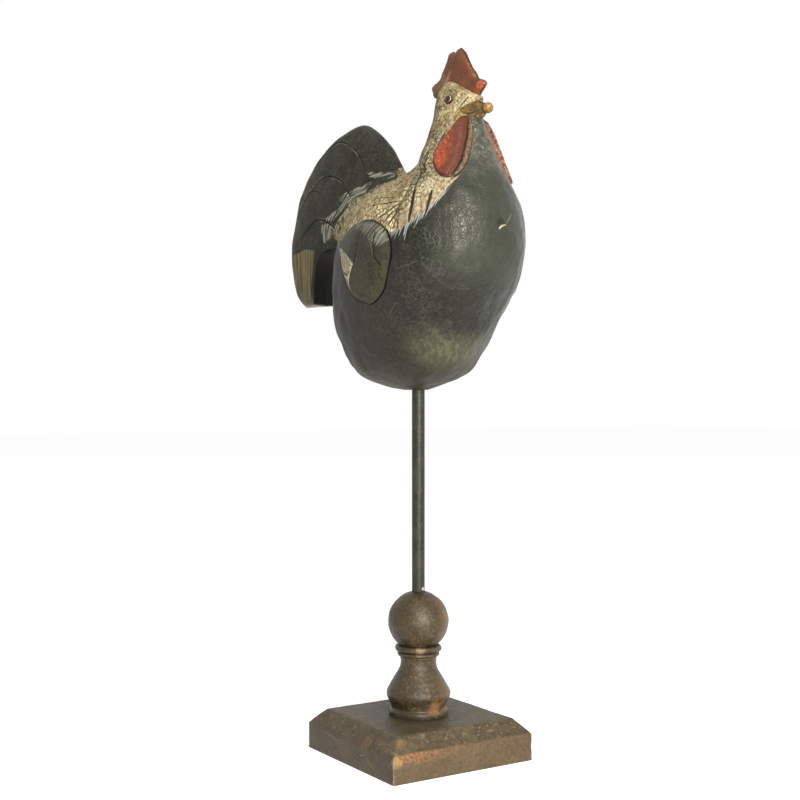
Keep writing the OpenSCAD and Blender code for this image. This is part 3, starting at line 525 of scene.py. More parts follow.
tail_chain = np.array(tail_outline[1:] + tail_outline[:1])
tail_curve = np.concatenate([even(bent(tail_chain, False), slab_n - 24, False),
                             toward(tail_chain[-1], tail_chain[0], np.linspace(0, 1, 26)[1:-1, None])])
rings = slab(tail_curve, tail_centre, tail_t, tail_rim_shares, slab_rows_n, 0.7, 4.2)
x, z = rings[..., 1], rings[..., 2]
arcs = np.min([near(x, z, bent(a, False)) for a in tail_arcs], axis=0)
branch = near(x, z, bent(tail_branch, False))
cream, strokes = (np.max([region(x, z, p) for p in plans], axis=0)
                  for plans in ((saddle_on_tail, tail_root_cream, tail_low_cream), tail_strokes))
cuts = 0.25 * waves(rings, 14, 7) - 1.0 * groove(arcs, 2.2) - 0.5 * groove(branch, 1.6)
make("carved_tail", raised(rings, step_up(np.abs(rings[..., 0]), 1.0, 3.0) * cuts), "figure", ["tail"],
     dict(arc=arcs, branch=branch, rim=region(x, z, tail_curve[::4, :2]), cream=cream, strokes=strokes,
          saddle=region(x, z, saddle_on_tail)))

comb_curve = even(bent(comb_outline, True), 300)
rings = slab(comb_curve, comb_centre, comb_t, comb_rim_shares, 40, 0.8, 4.6)
rings = raised(rings, step_up(np.abs(rings[..., 0]), 0.5, 2) * 0.22 * waves(rings, 9, 8))
make("carved_comb", rings, "figure", ["comb"],
     dict(rim=region(rings[..., 1], rings[..., 2], comb_curve[::2, :2])))


# Panels on the sides: wings and wattles
def panel(outline, centre, yaw, mid, height, let_in, rows, count):
    """Rings of a panel from its front middle over its rim to its back middle, and their places on it."""
    p = even(outline, count)
    c, s = turn(yaw)
    shares = np.concatenate([np.linspace(0.02, 1, rows), [1, 1, 1, 0.66, 0.33, 0.03]])[:, None]
    u, z = (centre[n] + shares * (p[:, n] - centre[n]) for n in (0, 1))
    top = height(u[:rows], z[:rows], shares[:rows])
    rim = top[-1:]
    under = [0.5 * rim - 0.3, -0.5 * let_in + 0 * rim] + [-let_in + 0 * rim] * 4
    t = reach(u, z, yaw, mid) + np.concatenate([top, *under])
    return join(t * c - u * s, mid + u * c + t * s, z), u, z


def wing_height(u, z, share):
    rise = wing_proud * smooth(wing_rim_shares, share)[..., 0] * (1 - 0.72 * step_up(share, 0.82, 1))
    for line, depth in zip(wing_lines, (0.9, 0.9, 0.5)):
        rise = rise - depth * groove(near(u, z, bent(line, False)), 1.9)
    return rise + 0.16 * waves(join(0, u, z), 11, 11)


def wattle_height(u, z, share):
    crease = near(u, z, wattle_crease)
    rim = smooth(wattle_rim_shares, share)[..., 0] * (1 - 0.55 * step_up(share, 0.9, 1))
    bulge = wattle_proud * rim * (1.06 - 0.8 * groove(crease, 5))
    band = wattle_proud * 0.42 * (1 - 0.92 * step_up(share, 0.80, 1)) * (1 - groove(crease, 3))
    return np.where(region(u, z, wattle_lobe) > 0, bulge, band) + 0.14 * waves(join(0, u, z), 8, 12)


def make_pairs(*pairs):
    """Pieces of the right side, then their mirror images on the left."""
    for side, word in ((1, "right"), (-1, "left")):
        for name, node, rings, fields, slot in pairs:
            make(name + word, rings * [side, 1, 1], "figure", [node + word], fields)


wing_rings, u, z = panel(wing_outline, wing_centre, 0, 0, wing_height, wing_let_in, 58, 300)
wing_fields = dict(line=np.min([near(u, z, bent(w, False)) for w in wing_lines[:2]], axis=0),
                   rim=region(u, z, wing_outline[::3]), strokes=region(u, z, wing_stroke_plan),
                   cream=np.minimum(region(u, z, wing_cream[0]), -region(u, z, wing_cream[1])))
wattle_rings, u, z = panel(wattle_outline, wattle_centre, wattle_yaw, neck_y, wattle_height, wattle_let_in,
                           52, 240)
wattle_fields = dict(crease=region(u, z, wattle_lobe), rim=region(u, z, wattle_outline[::3]))
make_pairs(("carved_wing_", "wing_", wing_rings, wing_fields, "dark_paint"),
           ("carved_wattle_", "wattle_", wattle_rings, wattle_fields, "wattle_paint"))


# Beak, its ball and the eyes
def beak_rings(count=84, rows=64):
    a = np.linspace(0, 2 * np.pi, count, endpoint=False)
    s = np.linspace(-0.12, 0.97, rows)[:, None]
    wide, up, down, rise = (smooth(beak_section_shares, s)[..., n] for n in range(4))
    height = np.where(np.cos(a) > 0, up * beak_h, down * beak_h) * np.cos(a)
    mouth = groove(np.degrees(np.abs(np.angle(np.exp(1j * (np.abs(a - np.pi) - np.pi * 0.47))))), 16)
    width = wide * beak_w / 2 * np.sin(a) * (1 - 0.10 * mouth * step_up(s, -0.1, 0.1))
    return join(width, face_y + s * beak_l, beak_z + rise * mouth_rise + height), mouth


rings, mouth = beak_rings()
rings = raised(rings, 0.12 * waves(rings, 5, 14))
make("carved_beak", rings, "figure", ["beak"], dict(mouth=mouth))


def lathe(profile, count, at=(0, 0)):
    """Rings round an upright axis from (radius, height) pairs."""
    angle = np.linspace(0, 2 * np.pi, count, endpoint=False)
    return np.array([ring(r, z, at, angle) for r, z in profile])


def arc(r, z, size, low, high, n):
    a = np.radians(np.linspace(low, high, n))
    return join(r + size * np.cos(a), z + size * np.sin(a))


rings = lathe(arc(0, beak_z + mouth_rise, tip_r, -88, 88, 40), 64, (0, face_y + beak_l))
make("beak_ball", rings, "figure", ["beak"], {})


def eye_rings():
    bead = eye_seat_h + eye_proud
    ball = (eye_r**2 + bead**2) / (2 * bead)
    rho = (np.concatenate([np.linspace(0.02, 1, 30), [1, 0.5, 0.1]]) * eye_r)[:, None]
    h = eye_proud - ball + np.sqrt(np.maximum(ball**2 - rho**2, 0))
    h[-3:] = -eye_seat_h - 0.3
    a = np.linspace(0, 2 * np.pi, 60, endpoint=False)
    c, s = turn(eye_yaw)
    t = float(reach(np.array(0.0), np.array(float(eye_z)), eye_yaw, eye_y)) + h
    u, v = rho * np.sin(a), rho * np.cos(a)
    return join(t * c - u * s, eye_y + u * c + t * s, eye_z + v), u, v


rings, along, up = eye_rings()
make_pairs(("eye_bead_", "eye_", rings, dict(along=along, up=up), "eye_glaze"))


# Rod, post and plinth
def dense(profile, step):
    """A profile with points at equal steps."""
    p = np.asarray(profile, float)
    return even(p, int(run_along(p)[-1] / step) + 2, False)


socket_z, rod_top_z = post_top - socket_h, figure_z + bore_h - 0.2
rod_line = np.concatenate([[[rod_r * 0.1, socket_z], [rod_r - 0.3, socket_z]],
                           join(rod_r, np.linspace(socket_z + 0.3, rod_top_z - 0.3, 152)),
                           [[rod_r - 0.3, rod_top_z], [rod_r * 0.1, rod_top_z]]])
make("steel_rod", lathe(rod_line, 72), "rod", ["support_rod"], {})

collar_z = plinth_h + post_h - 2 * ball_r + collar_bead_r
lower_bead_z = collar_z - collar_bead_r - lower_bead_r
vase_h = lower_bead_z - lower_bead_r - plinth_h
vase_radii = [foot_r, foot_r, foot_r - foot_groove, vase_r, (vase_r + waist_r) / 2 + foot_groove,
              waist_r + foot_groove / 2, waist_r, waist_r + foot_groove / 2]
vase_s = np.linspace(0, 1, 120)
vase = join(smooth(list(zip(vase_height_shares, vase_radii)), vase_s)[..., 0], plinth_h + vase_h * vase_s)
mouldings = np.concatenate([
    vase, arc(collar_r - 2 * lower_bead_r, lower_bead_z, lower_bead_r, -90, 60, 14),
    arc(collar_r - collar_bead_r, collar_z, collar_bead_r, -60, 90, 22),
    arc(0, ball_z, ball_r, -42, 90 - math.degrees(math.asin((rod_r + 0.5) / ball_r)), 90)])
bore_r = rod_r + bore_gap
tenon_z = plinth_h - tenon_h
rings = lathe(np.concatenate([
    [[0.5, tenon_z], [tenon_r, tenon_z], [tenon_r, plinth_h - 0.5]], dense(mouldings, 0.6),
    [[bore_r, post_top - 0.9], [bore_r, post_top - 3], [bore_r, socket_z], [bore_r * 0.1, socket_z]]]), 220)
outer = step_up(rings[..., 2], plinth_h - 0.2, plinth_h + 1)
outer = outer * (np.hypot(rings[..., 0], rings[..., 1]) > rod_r + 2)
pit = np.linalg.norm((rings - np.array([7.5, -6.2, post_top - 2.4])) / [2.4, 1.6, 2.2], axis=-1)
worn = 0.13 * waves(rings, 9, 21) + 0.05 * waves(rings, 3, 22) - 0.9 * np.exp(-pit**2)
make("turned_post_skin", raised(rings, outer * worn), "stand", ["turned_post"], {})


def square_ring(half, corner, z, straight_n=96, corner_n=14):
    corner = min(corner, 0.9 * half)
    flat = half - corner
    side = np.linspace(-flat, flat, straight_n, endpoint=False)
    a = np.linspace(0, np.pi / 2, corner_n, endpoint=False)
    x, y = np.concatenate([join(half, side), flat + corner * join(np.cos(a), np.sin(a))]).T
    return np.concatenate([join(x * c - y * s, x * s + y * c, z)
                           for c, s in ((1, 0), (0, 1), (-1, 0), (0, -1))])


def plinth_rings():
    straight_h = plinth_h - chamfer_w
    profile = dense([[0.9, 0], [0.25, 0.25], [0, 0.9], [0, straight_h - 0.7],
                     [0.35, straight_h + 0.2], [chamfer_w - 0.6, plinth_h - 0.35],
                     [chamfer_w + 0.7, plinth_h], [half - 1.2, plinth_h]], 0.95)
    square = [square_ring(half - inset, 1.6, z) for inset, z in profile]
    a = np.arctan2(square[0][:, 0], square[0][:, 1])
    hole = [ring(screw_recess_r * k, z, angle=a)
            for k, z in ((0.1, screw_recess_h), (0.99, screw_recess_h), (1, 0.0))]
    return np.array(hole + [toward(hole[-1], square[0], s) for s in (0.15, 0.4, 0.7, 0.97)] + square)


half = plinth_side / 2
rings = plinth_rings()
px, py, pz = rings[..., 0], rings[..., 1], rings[..., 2]
in_x, in_y = half - np.abs(px), half - np.abs(py)
outer, to_corner = np.minimum(in_x, in_y), np.hypot(in_x, in_y)
worn = 0.12 * waves(rings, 17, 31) + 0.06 * waves(rings, 6, 32)
worn = worn - np.exp(-(to_corner / 2.4) ** 2) * (0.35 + 0.22 * waves(rings, 7, 33))
worn = np.minimum(worn, 0.15) * step_up(pz, 0.2, 2.5)
upright = np.where(pz < plinth_h - chamfer_w + 1, to_corner, 99)
edge = np.min([upright, np.hypot(outer, pz - plinth_h + chamfer_w),
               np.hypot(outer - chamfer_w, pz - plinth_h), np.hypot(outer, pz),
               np.where(outer < chamfer_w, np.abs(np.abs(px) - np.abs(py)) + 1.2, 99)], axis=0)
make("plinth_block", raised(rings, worn), "stand", ["plinth"], dict(edge=edge, upright=upright),
     40)


# Shader nodes
def screen(colour):
    """Linear colour from a screen colour of 0 to 255."""
    return tuple(c / 3294.6 if c <= 10.3 else ((c / 255 + 0.055) / 1.055) ** 2.4 for c in colour) + (1,)


class Value:
    """Output of a node, which can be added to, multiplied and painted over."""

    def __init__(self, nodes, socket):
        self.nodes, self.socket = nodes, socket

    def __add__(self, other):
        return self.nodes.math("ADD", self, other)

    def __sub__(self, other):
        return self.nodes.math("SUBTRACT", self, other)

    def __rsub__(self, other):
        return self.nodes.math("SUBTRACT", other, self)

    def __mul__(self, other):
        return self.nodes.math("MULTIPLY", self, other)

    def __abs__(self):
        return self.nodes.math("ABSOLUTE", self)

    __radd__, __rmul__ = __add__, __mul__

    def over(self, share, tint, kind="MIX"):
        """Lays a tint over a share of this colour."""
        self.socket = self.nodes.mix(share, self, tint, kind).socket


class Nodes:
    """A node tree, built by short calls."""

    def __init__(self, tree):
        self.tree = tree

    def put(self, socket, value):
        if isinstance(value, Value):
            self.tree.links.new(value.socket, socket)
        else:
            socket.default_value = value

    def node(self, kind, inputs=(), output=0, **settings):
        """The value of one output of a new node."""
        n = self.tree.nodes.new("ShaderNode" + kind)
        for key, value in settings.items():
            setattr(n, key, value)
        for key, value in inputs.items() if isinstance(inputs, dict) else enumerate(inputs):
            self.put(n.inputs[key], value)
        return Value(self, n.outputs[output])

    def math(self, kind, a, b=0):
        return self.node("Math", (a, b), operation=kind)

    def mix(self, share, a, b, kind="MIX"):
        a, b = (screen(c) if isinstance(c, tuple) else c for c in (a, b))
        return self.node("Mix", {0: share, 6: a, 7: b}, 2, data_type="RGBA", blend_type=kind)

    def seen_white(self, dim, bright, end):
        """Ends with a shader that camera, glossy and transmission rays see as bright, and others as dim."""
        path = self.tree.nodes.new("ShaderNodeLightPath")
        camera, glossy, through = (Value(self, path.outputs["Is " + ray + " Ray"])
                                   for ray in ("Camera", "Glossy", "Transmission"))
        seen = self.math("MAXIMUM", self.math("MAXIMUM", camera, glossy), through)
        out = self.tree.nodes.new("ShaderNodeOutput" + end)
        self.put(out.inputs[0], self.node("MixShader", (seen, dim, bright)))


class Look(Nodes):
    """A procedural paint. Sizes are millimetres."""

    def __init__(self, name, gloss, cad=False):
        self.mat = bpy.data.materials.new(name)
        self.mat.use_nodes = True
        super().__init__(self.mat.node_tree)
        self.shader = self.tree.nodes["Principled BSDF"].inputs
        self.shader["Specular IOR Level"].default_value = gloss
        self.shader["Specular Tint"].default_value = (1, 0.97, 0.88, 1)
        if cad:
            self.p = self.vector("MULTIPLY", self.node("TexCoord", output="Object"), (1 / MM,) * 3)
        else:
            self.p = self.field("place", "Vector")
        self.x, self.y, self.z = (self.node("SeparateXYZ", (self.p,), axis) for axis in "XYZ")

    @property
    def side(self):
        """Place as the right side shows it: ahead and up."""
        return self.join(self.y, self.z)

    @property
    def radius(self):
        return self.math("SQRT", self.x * self.x + self.y * self.y)

    def field(self, name, output="Fac"):
        return self.node("Attribute", (), output, attribute_name=name)

    def most(self, a, b):
        return self.math("MAXIMUM", a, b)

    def span(self, value, low, high, a=0, b=1):
        """Smooth step from a at low to b at high."""
        return self.node("MapRange", (value, low, high, a, b), interpolation_type="SMOOTHSTEP")

    def vector(self, kind, a, b):
        output = "Value" if kind in ("DOT_PRODUCT", "DISTANCE") else 0
        return self.node("VectorMath", (a, b), output, operation=kind)

    def join(self, x, y, z=0):
        return self.node("CombineXYZ", (x, y, z))

    def noise(self, size, detail=3, at=None, rough=0.55, warp=0, output=0):
        """Cloudy noise; size is one length or one for each axis."""
        at = at or self.p
        if isinstance(size, tuple):
            at, size = self.vector("MULTIPLY", at, tuple(1 / s for s in size)), 1
        return self.node("TexNoise", {"Vector": at, "Scale": 1 / size, "Detail": detail, "Roughness": rough,
                                      "Distortion": warp}, output)

    def clouds(self, size, detail, low, high, a=0, b=1, **more):
        """Smooth step from a where a noise is low to b where it is high."""
        return self.span(self.noise(size, detail, **more), low, high, a, b)

    def cracks(self, size, width, warp=0.5, stretch=(1, 1, 1), shift=0):
        """1 on the lines between random cells about size wide."""
        bend = self.vector("SUBTRACT", self.noise(size * 0.6, 2, output=1), (0.5,) * 3)
        at = self.vector("ADD", self.p, self.vector("MULTIPLY", bend, (warp * size,) * 3))
        at = self.vector("ADD", at, (shift,) * 3)
        at = self.vector("MULTIPLY", at, tuple(1 / (size * s) for s in stretch))
        d = self.node("TexVoronoi", {"Vector": at, "Scale": 1}, "Distance", feature="DISTANCE_TO_EDGE")
        return self.span(d, 0, width / size, 1, 0)

    def dots(self, size, radius, share):
        """1 in round specks, in a share of the cells about size wide."""
        cells = {"Vector": self.p, "Scale": 1 / size}
        d = self.node("TexVoronoi", cells, "Distance")
        pick = self.node("SeparateColor", (self.node("TexVoronoi", cells, "Color"),))
        return self.span(d, 0.6 * radius / size, radius / size, 1, 0) * self.math("LESS_THAN", pick, share)

    def line(self, at, a, b, width, fade=1.5, wobble=0.8):
        """1 along a straight scratch from a to b in the plane of at."""
        run = math.hypot(b[0] - a[0], b[1] - a[1])
        t = ((b[0] - a[0]) / run, (b[1] - a[1]) / run)
        s = self.vector("DOT_PRODUCT", at, (t[0], t[1], 0)) - (a[0] * t[0] + a[1] * t[1])
        d = self.vector("DOT_PRODUCT", at, (-t[1], t[0], 0)) + (a[0] * t[1] - a[1] * t[0])
        d = abs(d + (self.noise(5, 1) - 0.5) * wobble)
        return self.span(d, width / 2, width / 6) * (
            self.span(s, -fade, fade) * self.span(s, run + fade, run - fade))

    def lines(self, at, rows, wobble=0.8):
        """Several such scratches, each [a, b, width]."""
        total = 0
        for a, b, width in rows:
            total = self.most(self.line(at, a, b, width, wobble=wobble), total)
        return total

    def finish(self, colour, rough, height, depth):
        """Ends the paint: colour, roughness and a bump whose height is depth."""
        bump = self.node("Bump", {"Strength": 1, "Distance": depth * MM, "Height": height})
        for name, value in (("Base Color", colour), ("Roughness", rough), ("Normal", bump)):
            self.put(self.shader[name], value)
        return self.mat


# Camera, floor, world and lamps
def add_camera():
    cam = add("camera", bpy.data.cameras.new("camera"))
    cam.location = (-0.530, -0.800, 0.261)
    heading = math.atan2(-0.530, 0.800) + math.radians(0.807)
    cam.rotation_euler = (math.radians(90), 0, heading)
    cam.data.sensor_width = 36
    cam.data.lens = 58.5
    cam.data.clip_end = 60
    bpy.context.scene.camera = cam


def lamp(name, at, aim, size, power):
    data = bpy.data.lights.new(name, "AREA")
    data.shape = "RECTANGLE"
    data.size, data.size_y = size
    data.energy = power
    data.color = (1, 0.98, 0.94)
    obj = add(name, data)
    obj.location = at
    obj.rotation_euler = (Vector(aim) - Vector(at)).to_track_quat("-Z", "Y").to_euler()


def empty_nodes(owner):
    owner.use_nodes = True
    owner.node_tree.nodes.clear()
    return Nodes(owner.node_tree)


def add_world():
    world = bpy.data.worlds.new("studio")
    bpy.context.scene.world = world
    nodes = empty_nodes(world)
    dim, bright = (nodes.node("Background", (white, strength)) for strength in (0.15, 1.0))
    nodes.seen_white(dim, bright, "World")


def add_floor(half=9.0):
    mesh = bpy.data.meshes.new("floor")
    mesh.from_pydata([(-half, -half, 0), (half, -half, 0), (half, half, 0), (-half, half, 0)], [],
                     [(0, 1, 2, 3)])
    floor = add("floor", mesh)
    mat = bpy.data.materials.new("floor_white")
    nodes = empty_nodes(mat)
    matte = nodes.node("BsdfDiffuse", ((0.8, 0.8, 0.8, 1),))
    glow = nodes.node("Emission", (white, 0.86))
    nodes.seen_white(matte, nodes.node("AddShader", (matte, glow)), "Material")
    mesh.materials.append(mat)


white = (1, 1, 1, 1)
add_camera()
add_world()
add_floor()
lamp("key", (-0.45, -1.63, 0.70), (0, 0, 0.32), (0.64, 1.2), 54)
lamp("fill", (-0.6, -0.5, 1.7), (0, 0, 0.3), (0.9, 0.9), 3)
bpy.context.scene.view_settings.view_transform = "Standard"


def dark_coat(k, low, high, keep=1):
    """Green-black paint with a light web of fine cracks: its colour and height."""
    colour = k.mix(k.clouds(30, 3, 0.35, 0.68), low, high)
    colour.over(k.clouds(2.4, 3, 0.46, 0.7, 0, 0.3), (76, 76, 61))
    colour.over(k.clouds(4.2, 3, 0.5, 0.68, 0, 0.5, warp=0.4), (16, 17, 14))
    web = k.cracks(4.6, 0.34, 0.18) * (k.clouds(15, 2, 0.42, 0.58) * keep)
    fine = k.cracks(3, 0.34, 0.2, shift=7) * k.clouds(19, 2, 0.44, 0.6, warp=0.6)
    colour.over(web * 0.4, (106, 115, 102))
    colour.over(fine * 0.17, (104, 104, 88))
    height = k.noise(2.2, 2) * 0.14 - k.most(web, fine) * 0.22
    return colour, height


def cream_coat(k, calm=0):
    """Old cream paint: speckled, cracked and darker where it is rubbed; calm is 1 where it is sound."""
    worn = 1 - calm
    colour = k.mix(k.clouds(11, 3, 0.36, 0.66), (155, 141, 105), (187, 177, 142))
    colour.over(k.clouds(2.3, 2, 0.5, 0.6, 0, 0.75) * worn, (102, 90, 54))
    colour.over(k.clouds((2.6, 2.6, 3.4), 2, 0.54, 0.62, 0, 0.85, warp=0.5), (207, 198, 169))
    web = k.cracks(3.5, 0.58, 0.2, (1, 1, 1.4)) * (k.clouds(8, 2, 0.36, 0.5) * worn)
    fine = k.cracks(2.5, 0.44, 0.2, shift=5) * k.clouds(6, 2, 0.42, 0.55)
    colour.over(fine * 0.62, (76, 64, 37))
    colour.over(web * 0.88, (45, 38, 23))
    colour.over(k.dots(2.5, 0.72, 0.34) * 0.85, (43, 36, 24))
    height = k.noise(1.3) * 0.5 - k.most(web, fine)
    return colour, height


def patch(k, at, size, blur, grain):
    """1 inside a soft ragged round on the side."""
    d = k.vector("DISTANCE", k.side, (*at, 0))
    return k.span(d + (k.noise(grain, 4) - 0.5) * (size * 1.4), size + blur, size - blur)


def spot(k, at, size, blur, ragged=0):
    """1 inside a soft ragged ball."""
    d = k.vector("DISTANCE", k.p, at) + (k.noise(size) - 0.5) * ragged
    return k.span(d, size + blur, size - blur)


def slanted(k, fine, long):
    """Noise in strokes that lean back downward."""
    return k.noise((fine, long, 12), 2, k.join(k.y - k.z * 0.35, k.z, k.x * 0.3)) - 0.5


def skin_dark(k):
    """Dark paint of the breast and body, with painted light on the front of the breast and on the throat:
    its colour, height and deeper cracks.
    """
    shine = spot(k, (26, 80, 117), 21, 10, 44)
    webbed = 0.14 + spot(k, (42, 68, 104), 24, 12, 30) - shine
    dark, height = dark_coat(k, (11, 11, 8), (20, 20, 14), k.most(webbed, 0))
    deep = k.most(k.cracks(4.2, 0.56, 0.22, shift=3), k.cracks(2.3, 0.4, 0.2, shift=9) * 0.6) * shine
    # Partly painted highlight: the front of the breast is painted a lighter grey-green where the key lamp's
    # broad sheen falls, partly its own lighter paint
    light = k.span(k.y + k.noise(20, 2) * 10, 62, 92) * k.span(k.z, 30, 96)
    dark.over(light * 0.75, k.mix(k.noise(7), (47, 50, 41), (62, 65, 54)))
    dark.over(deep * 0.5, (9, 10, 8))
    dark.over(patch(k, (47, 25), 13, 13, 9) * 0.4, (94, 92, 69))
    dark.over(patch(k, (47, 27), 11, 8, 5) * k.clouds((3, 3, 12), 3, 0.44, 0.6) * 0.35, (115, 113, 86))
    dark.over(patch(k, (2, 44), 30, 22, 12) * 0.55, (43, 37, 29))
    dark.over(patch(k, (30, 86), 20, 16, 12) * 0.45, (23, 23, 18))
    dark.over(k.span(k.z, 26, 6) * k.clouds(12, 3, 0.35, 0.6, 0.3, 1) * 0.6, (66, 60, 46))
    # Partly painted light: the throat, which faces the key lamp, is painted a lighter grey-green, partly
    # its own paint tone
    throat = k.span(k.z, 138, 168) * k.span(k.y, 52, 60)
    dark.over(throat * 0.6, k.mix(k.clouds(3, 3, 0.4, 0.62), (65, 69, 58), (97, 95, 81)))
    specks = k.clouds(1.7, 2, 0.56, 0.66) * k.span(k.z, 150, 176) * k.span(k.y, 58, 66)
    dark.over(specks * 0.42, (153, 155, 135))
    dark.over(k.lines(k.side, body_scratches) * 0.28, (120, 118, 98))
    strokes = k.span(k.field("cream") + slanted(k, 0.9, 30) * 24, -1.5, 1)
    strokes = strokes * k.span(k.z, 97, 106) * k.span(k.z, 142, 130)
    strokes = strokes * k.span(k.field("cream"), -11, -7) * 0.6
    fringe = k.lines(k.side, cape_fringe, 0.3) * 0.95
    dark.over(k.most(strokes, fringe), k.mix(k.noise(3, 2), (125, 130, 130), (179, 181, 173)))
    return dark, height - deep * 0.3, deep


def skin_cream(k):
    """Cream paint of the head, cape and saddle: its colour and height."""
    calm = k.span(k.z, 184, 196)
    cream, height = cream_coat(k, calm * 0.4)
    cream.over(k.span(k.z, 165, 186, 0, 0.9), (254, 247, 232), "MULTIPLY")
    cream.over(k.dots(4.6, 0.85, 0.4) * calm * 0.85, (46, 36, 18))
    saddle = k.span(k.field("saddle"), -1, 1.5)
    tan = k.mix(k.clouds(2.6, 2, 0.46, 0.58), (240, 224, 178), (192, 172, 124))
    olive = k.span(k.y, 8, 30) * k.span(k.z, 124, 134)
    tan.over(olive * k.clouds(6, 3, 0.35, 0.6, 0.3, 0.8), (140, 120, 78))
    tan.over(k.cracks(3.8, 0.62, 0.2, (1.5, 1, 1)) * k.clouds(9, 2, 0.34, 0.5, 0.3, 0.9), (73, 59, 30))
    tan.over(k.clouds((5, 3, 2.5), 2, 0.6, 0.68, 0, 0.6), (130, 85, 51))
    cream.over(saddle * 0.88, tan)
    pale = k.span(k.field("cream"), 15, 2) * k.span(k.z, 100, 112) * k.span(saddle, 0.6, 0)
    cream.over(pale * 0.75, k.mix(k.clouds(2.6, 3, 0.46, 0.6), (176, 158, 128), (126, 106, 80)))
    cream.over(k.lines(k.side, saddle_rays, 1.4) * 0.9, (40, 32, 19))
    cream.over(k.span(k.field("crease"), 1.1, 0.2, 0, 0.7), (64, 54, 36))
    cream.over(k.lines(k.side, head_strokes + neck_strokes, 0.7) * 0.92, (33, 30, 17))
    cream.over(spot(k, (52, 48, 121), 9, 9, 12) * 0.6, (222, 222, 222), "MULTIPLY")
    lit = spot(k, (44, -16, 129), 8, 22, 9) * k.clouds(3, 2, 0.4, 0.6)
    cream.over(lit * 0.55, (216, 200, 160))
    return cream, height


def skin_marks(k, colour):
    """Cuts, outlines, the rings round the eyes, the ochre of the mouth, the chip on the breast and a
    painted shadow beside the chip.
    """
    colour.over(k.span(k.field("slit"), -0.35, 0.15), (23, 19, 15))
    colour.over(k.span(abs(k.field("wing_in") + 0.1), 0.7, 0.25), (12, 11, 10))
    under = k.span(abs(k.field("wattle_in")), 1.2, 0.2)
    colour.over(under * k.clouds(3, 3, 0.38, 0.6, 0, 0.6), (80, 57, 27))
    both = k.join(abs(k.x), k.y, k.z)
    eye = k.vector("DISTANCE", both, (12.6, 49.2, 203.7))
    colour.over(k.span(eye + k.noise(1.5, 2) * 0.8, 3.6, 3.1, 0, 0.85), (38, 30, 20))
    lid = k.vector("DISTANCE", both, (12.4, 47.5, 203.6))
    colour.over(k.span(lid + k.noise(1.5, 2) * 0.6, 3.7, 3.2, 0, 0.9), (46, 30, 18))
    ochre = k.span(k.vector("DISTANCE", both, (11, 58, 189)) + k.noise(2.2) * 4, 7.4, 5.6)
    colour.over(ochre * 0.85, k.mix(k.clouds(1.8, 2, 0.42, 0.58), (153, 123, 56), (80, 68, 29)))
    front, ahead = k.join(k.x, k.z), k.span(k.y, 60, 66)
    chip = k.most(k.line(front, (2.4, 109.6), (-0.2, 112.2), 1.9),
                  k.line(front, (0.4, 111.8), (-3.2, 112.8), 1.3))
    # Painted shadow: a dark blot just above the chip on the breast stands in for the chip's shadow
    colour.over(spot(k, (1.6, 89.5, 113.6), 3.4, 0.9, 3.6) * 0.7, (21, 21, 17))
    colour.over(chip * ahead * 0.9, (179, 174, 140))
    colour.over(k.line(front, (-4.5, 114), (-11, 121), 0.7) * ahead * 0.5, (153, 149, 124))


def paint_skin():
    k = Look("skin_paint", 0.33)
    dark, dark_h, deep = skin_dark(k)
    cream, cream_h = skin_cream(k)
    share = k.span(k.field("cream") + slanted(k, 1.5, 26) * 11, -0.5, 0.5)
    colour = k.mix(share, dark, cream)
    skin_marks(k, colour)
    rough = k.span(share, 0, 1, 0.24, 0.54) + k.noise(5) * 0.1
    rough = rough + deep * 0.3 + k.span(k.y, 62, 24, 0, 0.26)
    return k.finish(colour, rough, dark_h * (1 - share) + cream_h * share, 0.26)


def paint_tail():
    k = Look("tail_paint", 0.18)
    dark, height = dark_coat(k, (31, 31, 24), (46, 45, 35), 0.1)
    # Painted shade: the face of the tail's hanging part that faces the body is painted near-black
    painted_shade_face = k.span(k.z, 116, 108) * k.span(k.y, -122, -114)
    dark.over(painted_shade_face * 0.7, (19, 18, 14))
    # Painted reflection: a lighter grey band near the tail's upper rear rim stands in for the pale sheen
    # its edge catches
    painted_rim_sheen = k.span(k.field("rim"), 24, 8) * k.clouds((9, 6, 14), 3, 0.3, 0.56, 0.25, 1)
    painted_rim_sheen = painted_rim_sheen * k.span(k.y, -100, -130) * k.span(k.z, 116, 128)
    dark.over(painted_rim_sheen * 0.45, (97, 93, 78))
    cream, cream_h = cream_coat(k)
    low = k.span(k.z, 122, 112)
    streaks = k.clouds((4, 2.2, 60), 3, 0.44, 0.6)
    wood = k.mix(streaks * 0.75, k.mix(k.noise(9), (130, 118, 83), (111, 99, 68)), (50, 45, 30))
    cream.over(low, wood)
    along = k.join(k.field("saddle"), k.y + k.z)
    lines = k.noise((1.5, 30, 1), 1, along)
    zone = k.span(k.field("strokes") + (k.noise((1.2, 10, 1), 2, along) - 0.5) * 7, -0.5, 0.6)
    stroke = zone * k.span(lines, 0.44, 0.52)
    dark.over(stroke * 0.92, k.mix(k.noise(5, 2), (118, 120, 103), (177, 175, 157)))
    share = k.span(k.field("cream") + (k.noise(2.2) - 0.5) * 1.6, -0.4, 0.4)
    colour = k.mix(share, dark, cream)
    cut = k.most(k.span(k.field("arc"), 0.75, 0.15), k.span(k.field("branch"), 0.55, 0.1))
    # Painted highlight: light glints in a thin band beside each cut arc of the tail
    painted_arc_glint = k.span(abs(k.field("arc") - 1.25), 0.6, 0.1) * k.clouds(10, 2, 0.46, 0.6)
    colour.over(painted_arc_glint * 0.55, (122, 118, 98))
    colour.over(cut * 0.9, (14, 13, 11))
    colour.over(k.span(k.z, tail_end_z + 1.3, tail_end_z + 0.6),
                k.mix(k.noise((3, 6, 3)), (179, 172, 144), (139, 128, 95)))
    rough = k.noise(5) * 0.16 + 0.38
    return k.finish(colour, rough, height - cut * 1.2, 0.22)


